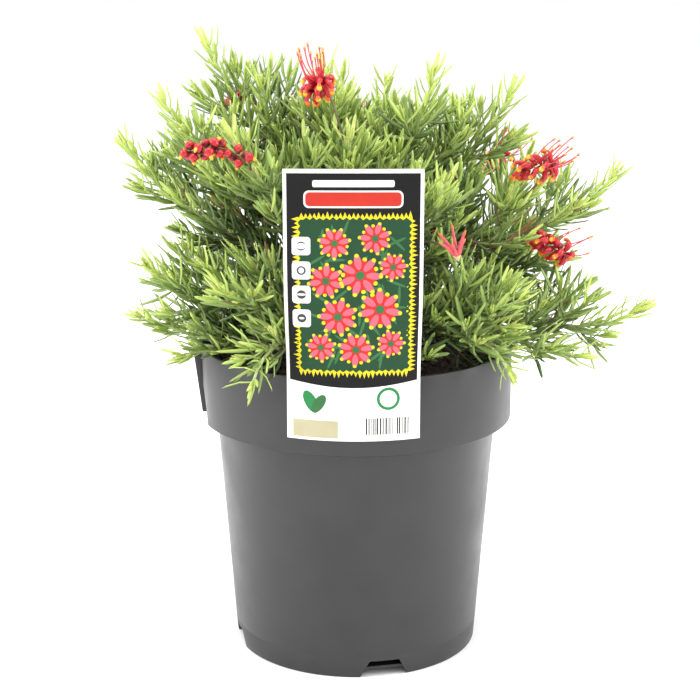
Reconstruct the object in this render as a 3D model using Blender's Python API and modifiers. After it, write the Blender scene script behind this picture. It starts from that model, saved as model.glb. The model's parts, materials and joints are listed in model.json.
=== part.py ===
"""A flowering grevillea shrub in its round nursery pot, with a plain plant label on the rim.

Metres, +Z up. The origin is on the pot's axis, on the flat underside of its foot, and the
label faces -Y. The pot is a thin moulded shell filled with potting mix. A short trunk stands
on the mix, limbs leave it in four tiers, and each limb ends in one mass of leafy twigs that
keeps to the space nearest its own stem.
"""

import math
import random

import bmesh
import bpy
import numpy as np
from mathutils import Matrix, Vector

# The pot: a tapering body under a straight collar, one thin wall throughout.
POT_HEIGHT = 0.200
RIM_RADIUS = 0.100
COLLAR_HEIGHT = 0.048
BODY_TOP_RADIUS = 0.090
BASE_RADIUS = 0.0785
WALL = 0.0018
EDGE = 0.0006
FLOOR_UNDERSIDE = 0.0042
CENTRE_FOOT_RADIUS = 0.020
POT_STEPS = 44
COLLAR_FOOT = POT_HEIGHT - COLLAR_HEIGHT
BODY_SLOPE = (BODY_TOP_RADIUS - BASE_RADIUS) / COLLAR_FOOT

# Four drain notches in the foot, the first a little to the right of the front.
NOTCHES = 4
FIRST_NOTCH_DEG = -77
NOTCH_FOOT_WIDTH = 0.031
NOTCH_TOP_WIDTH = 0.019
NOTCH_HEIGHT = 0.011
NOTCH_DEPTH = 0.0065

# The collar's left side is pressed into a sloping flat that carries a raised tag plate.
FLAT_AT_RIM = 0.100
FLAT_AT_FOOT = 0.094
TAG_WIDTH = 0.030
TAG_PROUD = 0.0042
TAG_SUNK = 0.0010
TAG_FOOT = 0.1556
TAG_TOP = 0.1960

# The potting mix, level where the trunk stands and slightly uneven around it.
MIX_LEVEL = 0.186
MIX_AT_WALL = 0.183
MIX_FLAT_RADIUS = 0.016
MIX_STEPS = 24
MIX_RING_SHARES = (0.42, 0.70)
MIX_UNEVEN = 0.0013
MIX_SEED = 11
GAP = 0.00035

# The plant label: a stiff card bent round the collar, nearly flat at its top.
LABEL_WIDTH = 0.081
LABEL_FOOT = 0.1625
LABEL_TOP = 0.3265
LABEL_THICKNESS = 0.0006
LABEL_CENTRE = -0.002
LABEL_LEAN = 0.006
LABEL_FLATTENS_OVER = 0.080
LABEL_FLATTENING = 0.90
LABEL_COLUMNS = 8
LABEL_ROWS = 8
TONGUE_WIDTH = 0.036
TONGUE_COLUMNS = 4
TONGUE_FOOT = 0.189
TONGUE_INSIDE = 0.0012

# The trunk, from its flat cut on the mix to its fork.
TRUNK_FOOT = MIX_LEVEL + GAP
TRUNK_TOP = 0.238
TRUNK_RADIUS = 0.0085
TRUNK_TOP_RADIUS = 0.0068
TRUNK_FLARE = 0.0045
FLARE_HEIGHT = 0.010
TRUNK_LEAN = 0.002
TRUNK_SIDES = 10
TRUNK_RINGS = 6
RINGS_CROWD_LOW = 1.5

# Limbs: azimuth and elevation in degrees and reach in metres, of the tip, from CROWN_BASE.
# The last number turns the tip up (+) or down (-) from the way the limb has been going.
CROWN_BASE = Vector((0.0, 0.0, POT_HEIGHT))
TIER_HEIGHTS = (0.1945, 0.2065, 0.2185, 0.2310)
TIERS = (
    (
        ("right_low", 0, 5, 0.196, 22),
        ("back_low", 95, 3, 0.160, 6),
        ("left_low", 176, 4, 0.154, 18),
        ("left_rim", 202, 0, 0.133, -12),
        ("front_left_rim", 242, 3, 0.146, -52),
        ("front_right_rim", 316, 3, 0.143, -52),
        ("right_rim", 344, 0, 0.160, -8),
    ),
    (
        ("back_right_low", 42, 13, 0.176, 15),
        ("back_middle", 88, 28, 0.178, 10),
        ("back_left_low", 137, 14, 0.170, 18),
        ("left_lower", 190, 21, 0.156, 20),
        ("front_left_low", 229, 23, 0.148, 5),
        ("front_right_low", 318, 19, 0.153, 8),
    ),
    (
        ("right_middle", 7, 31, 0.208, 12),
        ("back_right_high", 58, 47, 0.186, 8),
        ("back_left_high", 120, 48, 0.184, 8),
        ("left_middle", 172, 39, 0.205, 10),
        ("left_upper", 190, 52, 0.208, 6),
        ("front_left_high", 226, 53, 0.192, 6),
        ("front_right_high", 300, 48, 0.170, 6),
        ("right_upper", 346, 42, 0.172, 8),
    ),
    (
        ("right_high", 6, 58, 0.199, 6),
        ("top_back", 70, 70, 0.182, 4),
        ("left_high", 170, 63, 0.222, 4),
        ("crest_left", 226, 81, 0.190, 0),
        ("front_middle", 266, 66, 0.168, 4),
        ("crest_right", 350, 74, 0.191, 2),
    ),
)
# This limb rises straight from the top of the trunk, so its mass meets the trunk itself.
CENTRAL = ("crest_middle", 120, 84, 0.180, 0)
LIMB_RADIUS = 0.0020
LIMB_TIP_RADIUS = 0.0008
LIMB_RISE_DEG = 12
LEAST_RISE_DEG, MOST_RISE_DEG = 34, 84
RISE_SHARE, ARRIVE_SHARE = 0.36, 0.30
LIMB_SIDES = 5
LIMB_RINGS = 3
BOUGH_SHARE = 0.36
CURVE_STEPS = 30
SIDE_FALL = 1.8

# Side twigs and leaves, set round each stem by the golden angle.
GOLDEN_DEG = 137.508
TWIGS = 6
TWIG_FROM, TWIG_TO = 0.42, 0.88
TWIG_REACH = 0.30
TWIG_SPREAD_DEG = 38
TWIG_RADIUS = 0.0011
TWIG_TIP_RADIUS = 0.0005
TWIG_LIFT = 0.22
TWIG_SHORTENINGS = (1.0, 0.8, 0.62)
TWIG_VARIES = (0.85, 1.10)
TWIG_SHRINKS = 0.35
TWIG_ROOT_SHARE = 0.3
STEM_SIDES = 3
STEM_RINGS = 6
TWIG_LEAVES = (0.50, 0.76)
STEM_LEAVES = (0.48, 0.57, 0.66, 0.75, 0.84, 0.92)
STEM_LEAF_TURN_DEG = 60
LEAF_LENGTH = 0.037
LEAF_WIDTH = 0.0105
LEAF_THICKNESS = 0.0015
LEAF_WIDEST = 0.40
LEAF_SECTION = (LEAF_WIDTH / math.sqrt(3), LEAF_THICKNESS / 1.5)
TIP_LEAF = 0.020
LEAF_SPREAD_DEG = 36
LEAF_GREEN = (0.17, 0.29, 0.07)
LEAF_LIFT = 0.45
LEAF_SUNK = 0.0010
LEAF_ROOT_SHARE = 0.2
LEAF_TRIES = 7
LEAF_RETRY_DEG = 51
LEAF_CLEAR = 0.0030
SPACE_MARGIN = 0.0012
LIMB_CLEAR = 0.0012
POT_CLEAR = 0.0022
LABEL_CLEAR = 0.0055
CHECK_STEP = 0.003

# Flower heads: azimuth, elevation and distance of the head's middle from CROWN_BASE, radius.
FLOWERS = (
    (244, 70, 0.183, 0.0125),
    (214, 46, 0.166, 0.0115),
    (347, 37, 0.142, 0.0130),
    (356, 19, 0.135, 0.0125),
    (300, 31, 0.122, 0.0100),
    (40, 40, 0.160, 0.0120),
    (86, 44, 0.165, 0.0125),
    (128, 27, 0.158, 0.0120),
    (150, 60, 0.170, 0.0115),
    (66, 16, 0.160, 0.0110),
)
HEAD_SQUASH = 0.82
STALK_BACK = 0.10
STYLES = 3
STYLE_LENGTH = 0.017
STYLE_RADIUS = 0.0008
STYLE_SPREAD_DEG = 38
STYLE_RISE = 0.6
STYLE_FIRST_DEG = 20


def clear_scene():
    for obj in list(bpy.data.objects):
        bpy.data.objects.remove(obj)


def collection(name):
    made = bpy.data.collections.new(name)
    bpy.context.scene.collection.children.link(made)
    return made


def material(name, color, roughness, metallic=0.0):
    made = bpy.data.materials.new(name)
    made.use_nodes = True
    shader = made.node_tree.nodes["Principled BSDF"]
    shader.inputs["Base Color"].default_value = (*color, 1.0)
    shader.inputs["Roughness"].default_value = roughness
    shader.inputs["Metallic"].default_value = metallic
    made.diffuse_color = (*color, 1.0)
    return made


def mesh_object(name, bm, home):
    """A new object in the collection home, holding the bmesh, which is freed."""
    mesh = bpy.data.meshes.new(name)
    bm.to_mesh(mesh)
    bm.free()
    obj = bpy.data.objects.new(name, mesh)
    home.objects.link(obj)
    return obj


def apply_modifiers(obj):
    """Swaps the object's mesh for the one that its modifiers make."""
    graph = bpy.context.evaluated_depsgraph_get()
    made = bpy.data.meshes.new_from_object(obj.evaluated_get(graph))
    old = obj.data
    obj.modifiers.clear()
    obj.data = made
    bpy.data.meshes.remove(old)
    made.name = obj.name


def boolean(obj, operation, others):
    modifier = obj.modifiers.new(operation.lower(), "BOOLEAN")
    modifier.operation = operation
    modifier.operand_type = "COLLECTION"
    modifier.collection = others
    modifier.solver = "EXACT"


def turned(name, profile, steps, home):
    """The solid that a profile of (radius, height) points sweeps round the Z axis."""
    bm = bmesh.new()
    corners = [bm.verts.new((radius, 0.0, height)) for radius, height in profile]
    for one, two in zip(corners, corners[1:]):
        bm.edges.new((one, two))
    obj = mesh_object(name, bm, home)
    screw = obj.modifiers.new("turn", "SCREW")
    screw.steps = screw.render_steps = steps
    screw.use_merge_vertices = True
    screw.merge_threshold = 0.00001
    screw.use_smooth_shade = False
    apply_modifiers(obj)
    bm = bmesh.new()
    bm.from_mesh(obj.data)
    bmesh.ops.remove_doubles(bm, verts=bm.verts, dist=0.000001)
    on_axis = [edge for edge in bm.edges if not edge.link_faces]
    bmesh.ops.delete(bm, geom=on_axis, context="EDGES")
    bm.to_mesh(obj.data)
    bm.free()
    return obj


def flat_distance(height):
    """How far the collar's pressed flat lies from the axis at this height."""
    fall = (POT_HEIGHT - height) / COLLAR_HEIGHT
    return FLAT_AT_RIM + (FLAT_AT_FOOT - FLAT_AT_RIM) * fall


def press_flat(obj, lowest, inset_of):
    """Moves what stands outside the collar's flat onto it; inset_of gives each depth behind it."""
    for vert in obj.data.vertices:
        if vert.co.z > lowest:
            limit = flat_distance(vert.co.z) - inset_of(vert.co)
            vert.co.x = max(vert.co.x, -limit)


def pot_profile():
    """Down the outside from the rim, under the foot to the axis, and up the inside."""
    inner = RIM_RADIUS - WALL
    bottom_inner = BASE_RADIUS - WALL
    floor = FLOOR_UNDERSIDE + WALL
    rings = [COLLAR_FOOT + COLLAR_HEIGHT * 0.5]
    outside = [
        (inner, POT_HEIGHT),
        (RIM_RADIUS - EDGE, POT_HEIGHT),
        (RIM_RADIUS, POT_HEIGHT - EDGE),
        *[(RIM_RADIUS, height) for height in rings],
        (RIM_RADIUS, COLLAR_FOOT + 2 * EDGE),
        (RIM_RADIUS - 2 * EDGE, COLLAR_FOOT),
        (BODY_TOP_RADIUS, COLLAR_FOOT),
        (BASE_RADIUS, EDGE),
        (BASE_RADIUS - EDGE, 0.0),
    ]
    underside = [
        (bottom_inner, 0.0),
        (bottom_inner, FLOOR_UNDERSIDE),
        (CENTRE_FOOT_RADIUS, FLOOR_UNDERSIDE),
        (CENTRE_FOOT_RADIUS, 0.0),
        (0.0, 0.0),
    ]
    inside = [
        (0.0, WALL),
        (CENTRE_FOOT_RADIUS - WALL, WALL),
        (CENTRE_FOOT_RADIUS - WALL, floor),
        (bottom_inner + BODY_SLOPE * floor, floor),
        (BODY_TOP_RADIUS - WALL, COLLAR_FOOT + WALL),
        (inner, COLLAR_FOOT + WALL),
        *[(inner, height) for height in reversed(rings)],
        (inner, POT_HEIGHT),
    ]
    return outside + underside + inside


def make_pot(home, cutters):
    pot = turned("pot", pot_profile(), POT_STEPS, home)
    middle = RIM_RADIUS - WALL / 2

    def inset_of(point):
        inside = math.hypot(point.x, point.y) < middle - EDGE / 2
        return WALL if inside else 0.0

    press_flat(pot, COLLAR_FOOT - EDGE, inset_of)

    for count in range(NOTCHES):
        bm = bmesh.new()
        bmesh.ops.create_cube(bm, size=1.0)
        for vert in bm.verts:
            top = vert.co.z > 0
            width = NOTCH_TOP_WIDTH if top else 2 * NOTCH_FOOT_WIDTH - NOTCH_TOP_WIDTH
            vert.co.x = BASE_RADIUS + vert.co.x * NOTCH_DEPTH
            vert.co.y *= width
            vert.co.z = NOTCH_HEIGHT if top else -NOTCH_HEIGHT
        turn = Matrix.Rotation(math.radians(FIRST_NOTCH_DEG + count * 360 / NOTCHES), 3, "Z")
        bmesh.ops.rotate(bm, matrix=turn, verts=bm.verts)
        helper(mesh_object(f"notch_{count}", bm, cutters))
    boolean(pot, "DIFFERENCE", cutters)

    tags = collection("tag_plates")
    bm = bmesh.new()
    bmesh.ops.create_cube(bm, size=1.0)
    bmesh.ops.scale(
        bm,
        vec=(TAG_PROUD + TAG_SUNK, TAG_WIDTH, TAG_TOP - TAG_FOOT),
        verts=bm.verts,
    )
    for vert in bm.verts:
        vert.co.z += (TAG_TOP + TAG_FOOT) / 2
        vert.co.x -= flat_distance(vert.co.z) + (TAG_PROUD - TAG_SUNK) / 2
    helper(mesh_object("tag_plate", bm, tags))
    boolean(pot, "UNION", tags)
    pot.data.materials.append(material("charcoal_pot", (0.115, 0.115, 0.118), 0.42))
    return pot


def make_potting_mix(home):
    """Fills the pot; its top is uneven but for the level middle."""
    floor = FLOOR_UNDERSIDE + WALL + GAP
    body_inner = BODY_TOP_RADIUS - WALL - GAP
    collar_inner = RIM_RADIUS - WALL - 2 * GAP
    shelf = COLLAR_FOOT + WALL + GAP
    profile = [
        (0.0, MIX_LEVEL),
        (MIX_FLAT_RADIUS, MIX_LEVEL),
        (MIX_RING_SHARES[0] * RIM_RADIUS, (MIX_LEVEL + MIX_AT_WALL) / 2),
        (MIX_RING_SHARES[1] * RIM_RADIUS, MIX_AT_WALL),
        (collar_inner, MIX_AT_WALL),
        (collar_inner, shelf),
        (body_inner, shelf),
        (BASE_RADIUS - WALL - GAP, floor),
        (0.0, floor),
    ]
    mix = turned("potting_mix", profile, MIX_STEPS, home)
    rng = random.Random(MIX_SEED)
    for vert in mix.data.vertices:
        radius = math.hypot(vert.co.x, vert.co.y)
        if vert.co.z > shelf + GAP and MIX_FLAT_RADIUS + EDGE < radius < collar_inner - EDGE:
            vert.co.z += rng.uniform(-MIX_UNEVEN, MIX_UNEVEN)
    press_flat(mix, COLLAR_FOOT, lambda point: WALL + 2 * GAP)
    mix.data.materials.append(material("bark_mix", (0.045, 0.028, 0.017), 0.95))
    return mix


def label_point(across, height):
    """The label's bent surface: across is measured along the card, from its middle line."""
    above = max(0.0, height - POT_HEIGHT)
    flatter = min(1.0, above / LABEL_FLATTENS_OVER)
    flatter = flatter * flatter * (3 - 2 * flatter)
    back = RIM_RADIUS + GAP
    radius = back / (1.0 - LABEL_FLATTENING * flatter)
    lean = LABEL_LEAN * above / (LABEL_TOP - POT_HEIGHT)
    angle = (LABEL_CENTRE + across) / radius
    y = radius - back - lean - radius * math.cos(angle)
    return Vector((radius * math.sin(angle), y, height))


def make_label(home):
    """The card, and the tongue behind it that hooks over the rim."""
    bm = bmesh.new()
    bmesh.ops.create_grid(bm, x_segments=LABEL_COLUMNS, y_segments=LABEL_ROWS, size=0.5)
    for vert in bm.verts:
        height = LABEL_FOOT + (vert.co.y + 0.5) * (LABEL_TOP - LABEL_FOOT)
        vert.co = label_point(vert.co.x * LABEL_WIDTH, height)
    bmesh.ops.recalc_face_normals(bm, faces=bm.faces)
    if next(iter(bm.faces)).normal.y > 0:
        bmesh.ops.reverse_faces(bm, faces=bm.faces)
    label = mesh_object("plant_label", bm, home)
    thicken(label, LABEL_THICKNESS)

    route = (
        (RIM_RADIUS + GAP + LABEL_THICKNESS / 2, POT_HEIGHT + GAP),
        (RIM_RADIUS - WALL / 2, POT_HEIGHT + GAP),
        (RIM_RADIUS - WALL - TONGUE_INSIDE, POT_HEIGHT + GAP),
        (RIM_RADIUS - WALL - TONGUE_INSIDE, TONGUE_FOOT),
    )
    start = (LABEL_CENTRE - TONGUE_WIDTH / 2) / RIM_RADIUS
    bm = bmesh.new()
    corners = [
        bm.verts.new((radius * math.sin(start), -radius * math.cos(start), height))
        for radius, height in route
    ]
    line = [bm.edges.new(pair) for pair in zip(corners, corners[1:])]
    bmesh.ops.spin(
        bm,
        geom=corners + line,
        axis=(0.0, 0.0, 1.0),
        angle=TONGUE_WIDTH / RIM_RADIUS,
        steps=TONGUE_COLUMNS,
    )
    bmesh.ops.recalc_face_normals(bm, faces=bm.faces)
    highest = max(bm.faces, key=lambda face: face.normal.z * face.normal.z)
    if highest.normal.z < 0:
        bmesh.ops.reverse_faces(bm, faces=bm.faces)
    tongues = collection("label_tongue")
    tongue = mesh_object("tongue", bm, tongues)
    thicken(tongue, LABEL_THICKNESS)
    boolean(label, "UNION", tongues)
    apply_modifiers(label)
    bpy.data.objects.remove(tongue)
    bpy.data.collections.remove(tongues)
    label.data.materials.append(material("label_card", (0.62, 0.62, 0.58), 0.35))
    return label


def helper(obj):
    obj.hide_render = True
    obj.display_type = "WIRE"


def thicken(obj, thickness):
    """Gives an open surface its thickness, on the side that its faces point to."""
    solidify = obj.modifiers.new("card", "SOLIDIFY")
    solidify.thickness = thickness
    solidify.offset = 1.0
    solidify.use_even_offset = True
    apply_modifiers(obj)


def polar(azimuth, elevation, length=1.0):
    """A vector by azimuth from +X and elevation from the horizontal, both in degrees."""
    azimuth, elevation = math.radians(azimuth), math.radians(elevation)
    flat = math.cos(elevation)
    return length * Vector(
        (flat * math.cos(azimuth), flat * math.sin(azimuth), math.sin(elevation))
    )


def tube(name, points, sections, sides, home, across=None):
    """A closed stem or blade through the points, swept ring by ring from a first cap.

    Each section is the ring's half width and half thickness, and a section of nothing
    ends the sweep in a point. The width lies along across, where that is given.
    """
    bm = bmesh.new()
    corner = bm.verts.layers.int.new("corner")
    bmesh.ops.create_circle(bm, cap_ends=True, segments=sides, radius=1.0)
    cap = next(iter(bm.faces))
    unit = [vert.co.copy() for vert in cap.verts]
    for count, vert in enumerate(cap.verts):
        vert[corner] = count
    for count, (point, section) in enumerate(zip(points, sections)):
        ahead = points[min(count + 1, len(points) - 1)] - points[max(count - 1, 0)]
        ahead.normalize()
        across = ahead.orthogonal() if across is None else across - ahead * across.dot(ahead)
        across.normalize()
        if count:
            swept = bmesh.ops.extrude_face_region(bm, geom=[cap])["geom"]
            if count > 1:
                bmesh.ops.delete(bm, geom=[cap], context="FACES_ONLY")
            cap = next(item for item in swept if isinstance(item, bmesh.types.BMFace))
        width, thickness = section
        for vert in cap.verts:
            at = unit[vert[corner]]
            vert.co = point + across * at.x * width + ahead.cross(across) * at.y * thickness
    bmesh.ops.remove_doubles(bm, verts=bm.verts, dist=0.0000001)
    bmesh.ops.recalc_face_normals(bm, faces=bm.faces)
    return mesh_object(name, bm, home)


def round_sections(radii):
    return [(radius, radius) for radius in radii]


def trunk_radius(height):
    """The trunk's radius, with its root flare, at a height over the ground."""
    share = (height - TRUNK_FOOT) / (TRUNK_TOP - TRUNK_FOOT)
    flare = max(0.0, 1 - (height - TRUNK_FOOT) / FLARE_HEIGHT)
    return TRUNK_RADIUS + (TRUNK_TOP_RADIUS - TRUNK_RADIUS) * share + TRUNK_FLARE * flare**2


def trunk_centre(height):
    share = (height - TRUNK_FOOT) / (TRUNK_TOP - TRUNK_FOOT)
    return Vector((-TRUNK_LEAN * share, TRUNK_LEAN * share / 2, height))


def make_trunk(home):
    shares = [(ring / (TRUNK_RINGS - 1)) ** RINGS_CROWD_LOW for ring in range(TRUNK_RINGS)]
    heights = [TRUNK_FOOT + share * (TRUNK_TOP - TRUNK_FOOT) for share in shares]
    points = [trunk_centre(height) for height in heights]
    radii = [trunk_radius(height) for height in heights]
    trunk = tube("trunk", points, round_sections(radii), TRUNK_SIDES, home)
    for vert in trunk.data.vertices:
        if vert.co.z < heights[1] / 2 + TRUNK_FOOT / 2:
            vert.co.z = TRUNK_FOOT
        elif vert.co.z > TRUNK_TOP - 2 * EDGE:
            vert.co.z = TRUNK_TOP
    trunk.data.materials.append(material("bark", (0.16, 0.105, 0.07), 0.85))
    return trunk


def limb_radius(share):
    return LIMB_RADIUS + (LIMB_TIP_RADIUS - LIMB_RADIUS) * share


class Limb:
    """One limb of the shrub: the curve of its bough and of the stem that carries its mass."""

    def __init__(self, row, start, rise_azimuth, rise_elevation):
        self.name, azimuth, elevation, reach, tip_turn = row
        tip = CROWN_BASE + polar(azimuth, elevation, reach - TIP_LEAF)
        chord = (tip - start).length
        rise = polar(rise_azimuth, rise_elevation)
        arrive = polar(azimuth, elevation + tip_turn)
        self.corners = (
            start,
            start + rise * chord * RISE_SHARE,
            tip - arrive * chord * ARRIVE_SHARE,
            tip,
        )
        self.length = chord
        self.reach = reach
        self.direction = polar(azimuth, elevation)
        self.flowers = []
        self.samples = np.array([self.at(step / CURVE_STEPS) for step in range(CURVE_STEPS + 1)])

    def at(self, share):
        one, two, three, four = self.corners
        rest = 1 - share
        return (
            one * rest**3
            + two * 3 * rest * rest * share
            + three * 3 * rest * share * share
            + four * share**3
        )

    def heading(self, share):
        return (self.at(share + 0.01) - self.at(share - 0.01)).normalized()

    def beyond_reach(self, points):
        """The reach is full along the limb's own direction, and falls off to its sides."""
        spokes = points - np.array(CROWN_BASE)
        lengths = np.linalg.norm(spokes, axis=1)
        cosines = spokes @ np.array(self.direction) / lengths
        return bool((lengths > self.reach * (1 - SIDE_FALL * (1 - cosines))).any())

    def distance(self, points):
        """From each point to this limb's curve, or to the skin of its flower heads."""
        gaps = np.linalg.norm(points[:, None] - self.samples[None], axis=2).min(axis=1)
        for centre, radius in self.flowers:
            gaps = np.minimum(gaps, np.linalg.norm(points - centre, axis=1) - radius)
        return gaps


def plan_limbs():
    """Places each tier's limbs evenly round the trunk, in the order of their azimuths."""
    limbs = []
    for height, rows in zip(TIER_HEIGHTS, TIERS):
        step = 360 / len(rows)
        offsets = [row[1] - count * step for count, row in enumerate(rows)]
        first = sum(offsets) / len(offsets)
        for count, row in enumerate(rows):
            base_azimuth = first + count * step
            rise = min(MOST_RISE_DEG, max(LEAST_RISE_DEG, row[2] + LIMB_RISE_DEG))
            out = trunk_radius(height) + GAP + LIMB_RADIUS * math.sin(math.radians(rise))
            start = trunk_centre(height) + polar(base_azimuth, 0, out)
            limbs.append(Limb(row, start, base_azimuth, rise))
    top = trunk_centre(TRUNK_TOP) + Vector((0, 0, GAP))
    central = Limb(CENTRAL, top, 0, 90)
    return limbs, central


def give_flowers(limbs):
    """Each flower head is carried by the limb whose curve passes nearest."""
    for azimuth, elevation, distance, radius in FLOWERS:
        centre = CROWN_BASE + polar(azimuth, elevation, distance)
        nearest = min(limbs, key=lambda limb: limb.distance(np.array([centre]))[0])
        nearest.flowers.append((centre, radius))


def make_bough(limb, home):
    shares = [BOUGH_SHARE * ring / LIMB_RINGS for ring in range(LIMB_RINGS + 1)]
    points = [limb.at(share) for share in shares]
    radii = [limb_radius(share) for share in shares]
    bough = tube(f"bough_{limb.name}", points, round_sections(radii), LIMB_SIDES, home)
    bough.data.materials.append(material(f"bough_{limb.name}", (0.20, 0.135, 0.085), 0.8))
    return bough


def along(path):
    """Points every few millimetres along the straight runs of a path."""
    points = [path[0]]
    for one, two in zip(path, path[1:]):
        steps = max(1, math.ceil((two - one).length / CHECK_STEP))
        points += [one.lerp(two, step / steps) for step in range(1, steps + 1)]
    return np.array(points)


def clear_of_made_things(points):
    """True if no point comes near the pot's wall, the mix or the label."""
    radius = np.hypot(points[:, 0], points[:, 1])
    x, y, z = points.T
    over = z > POT_HEIGHT + POT_CLEAR
    tag = np.where(x < -FLAT_AT_FOOT, TAG_PROUD, 0.0)
    outside = radius > RIM_RADIUS + tag + POT_CLEAR
    inside = (radius < RIM_RADIUS - WALL - POT_CLEAR) & (z > MIX_LEVEL + POT_CLEAR)
    before_label = y < -RIM_RADIUS + LABEL_CLEAR
    beside = np.abs(x - LABEL_CENTRE) < LABEL_WIDTH / 2 + LABEL_CLEAR
    on_label = before_label & beside & (z < LABEL_TOP + LABEL_CLEAR)
    return bool(((over | outside | inside) & ~on_label).all())


class Mass:
    """Builds one mass of foliage: a stem, its side twigs, their leaves and flower heads."""

    def __init__(self, limb, limbs, first_share, home):
        self.limb = limb
        self.others = [other for other in limbs if other is not limb]
        self.boughs = np.concatenate(
            [other.samples[: int(CURVE_STEPS * BOUGH_SHARE) + 2] for other in limbs]
        )
        self.first_share = first_share
        self.rng = random.Random(limb.name)
        self.parts = collection(f"parts_of_{limb.name}")
        self.home = home
        self.taken = []

    def fits(self, points):
        """True if the points keep to this mass's space and touch nothing outside it."""
        own = self.limb.distance(points)
        rivals = np.min([other.distance(points) for other in self.others], axis=0)
        if (own + 2 * SPACE_MARGIN > rivals).any():
            return False
        if self.limb.beyond_reach(points):
            return False
        gaps = np.linalg.norm(points[:, None] - self.boughs[None], axis=2)
        if gaps.min() < LIMB_RADIUS + LIMB_CLEAR:
            return False
        height = points[:, 2]
        trunk = np.hypot(points[:, 0], points[:, 1]) < TRUNK_RADIUS + POT_CLEAR
        if (trunk & (height < TRUNK_TOP + POT_CLEAR)).any():
            return False
        return clear_of_made_things(points)

    def stem(self):
        shares = np.linspace(self.first_share, 1.0, STEM_RINGS + 1)
        points = [self.limb.at(share) for share in shares]
        sections = round_sections([limb_radius(share) for share in shares])
        self.end_in_blade(points, sections)
        name = f"foliage_{self.limb.name}"
        self.body = tube(name, points, sections, STEM_SIDES, self.home)

    def end_in_blade(self, points, sections):
        """Carries a stem on into the leaf that ends it."""
        ahead = (points[-1] - points[-2]).normalized()
        tip = points[-1]
        points += [tip + ahead * TIP_LEAF * LEAF_WIDEST, tip + ahead * TIP_LEAF]
        sections += [LEAF_SECTION, (0.0, 0.0)]
        self.taken += [tip, points[-2], points[-1]]

    def twig(self, start, way, length, name):
        """A short side twig that curves upward, or None where it doesn't fit at any length."""
        for shorter in TWIG_SHORTENINGS:
            reach = length * shorter
            lift = Vector((0, 0, TWIG_LIFT * reach))
            shares = (0.0, 0.5, 1.0)
            path = [start + way * reach * share + lift * share * share for share in shares]
            beyond = path[2] + (path[2] - path[1]).normalized() * TIP_LEAF
            checks = along([path[0].lerp(path[1], TWIG_ROOT_SHARE), *path[1:], beyond])
            if self.fits(checks) and self.has_room(checks[2:]):
                stem = list(path)
                sections = round_sections(
                    [TWIG_RADIUS + (TWIG_TIP_RADIUS - TWIG_RADIUS) * share for share in shares]
                )
                self.end_in_blade(stem, sections)
                tube(name, stem, sections, STEM_SIDES, self.parts)
                return path
        return None

    def leaf(self, root, ahead, angle, length):
        """A leaf at the root, turned round the stem until it finds room."""
        side = ahead.orthogonal().normalized()
        for attempt in range(LEAF_TRIES):
            turn = Matrix.Rotation(math.radians(angle + attempt * LEAF_RETRY_DEG), 3, ahead)
            out = turn @ side
            spread = math.radians(LEAF_SPREAD_DEG)
            way = ahead * math.cos(spread) + out * math.sin(spread)
            way = (way + Vector((0, 0, LEAF_LIFT * math.sin(spread)))).normalized()
            across = ahead.cross(out)
            across = (across - way * across.dot(way)).normalized()
            begin = root - way * LEAF_SUNK
            tip = begin + way * length
            widest = begin + way * length * LEAF_WIDEST
            edges = [widest + across * LEAF_WIDTH / 2, widest - across * LEAF_WIDTH / 2]
            outline = [along([begin.lerp(tip, LEAF_ROOT_SHARE), edge, tip]) for edge in edges]
            checks = np.concatenate(outline)
            if self.fits(checks) and self.has_room(checks[2:]):
                self.add_leaf(begin, way, across, length)
                self.taken += [Vector(point) for point in checks]
                return True
        return False

    def has_room(self, points):
        if not self.taken:
            return True
        gaps = np.array(points)[:, None] - np.array(self.taken)[None]
        return np.linalg.norm(gaps, axis=2).min() > LEAF_CLEAR

    def add_leaf(self, begin, way, across, length):
        """A long blade, pointed at both ends and widest a little before its middle."""
        points = [begin, begin + way * length * LEAF_WIDEST, begin + way * length]
        sections = [(0.0, 0.0), LEAF_SECTION, (0.0, 0.0)]
        tube("leaf", points, sections, STEM_SIDES, self.parts, across)

    def flower(self, centre, radius):
        """A squat head on its own stalk, with styles that stand up and out of it."""
        gaps = np.linalg.norm(self.limb.samples - np.array(centre), axis=1)
        nearest = int(gaps.argmin()) / CURVE_STEPS
        foot = self.limb.at(min(0.95, max(self.first_share + 0.05, nearest - STALK_BACK)))
        sections = round_sections([TWIG_RADIUS, TWIG_RADIUS])
        tube("stalk", [foot, centre], sections, STEM_SIDES, self.parts)
        bm = bmesh.new()
        bmesh.ops.create_icosphere(bm, subdivisions=1, radius=radius)
        bmesh.ops.scale(bm, vec=(1.0, 1.0, HEAD_SQUASH), verts=bm.verts)
        bmesh.ops.translate(bm, vec=centre, verts=bm.verts)
        mesh_object("head", bm, self.parts)
        outward = (centre - CROWN_BASE).normalized() + Vector((0, 0, STYLE_RISE))
        outward.normalize()
        side = outward.orthogonal().normalized()
        for count in range(STYLES):
            turn = Matrix.Rotation(math.radians(count * 360 / STYLES + STYLE_FIRST_DEG), 3, outward)
            spread = math.radians(STYLE_SPREAD_DEG)
            way = outward * math.cos(spread) + (turn @ side) * math.sin(spread)
            ends = [centre + way * radius * 0.5, centre + way * (radius * 0.8 + STYLE_LENGTH)]
            if self.fits(along(ends)):
                sections = [(STYLE_RADIUS, STYLE_RADIUS), (0.0, 0.0)]
                tube("style", ends, sections, STEM_SIDES, self.parts)
        ring = [centre + polar(turn, 0, radius) for turn in range(0, 360, 60)]
        self.taken += ring + [centre + Vector((0, 0, radius)), centre - Vector((0, 0, radius))]

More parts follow.
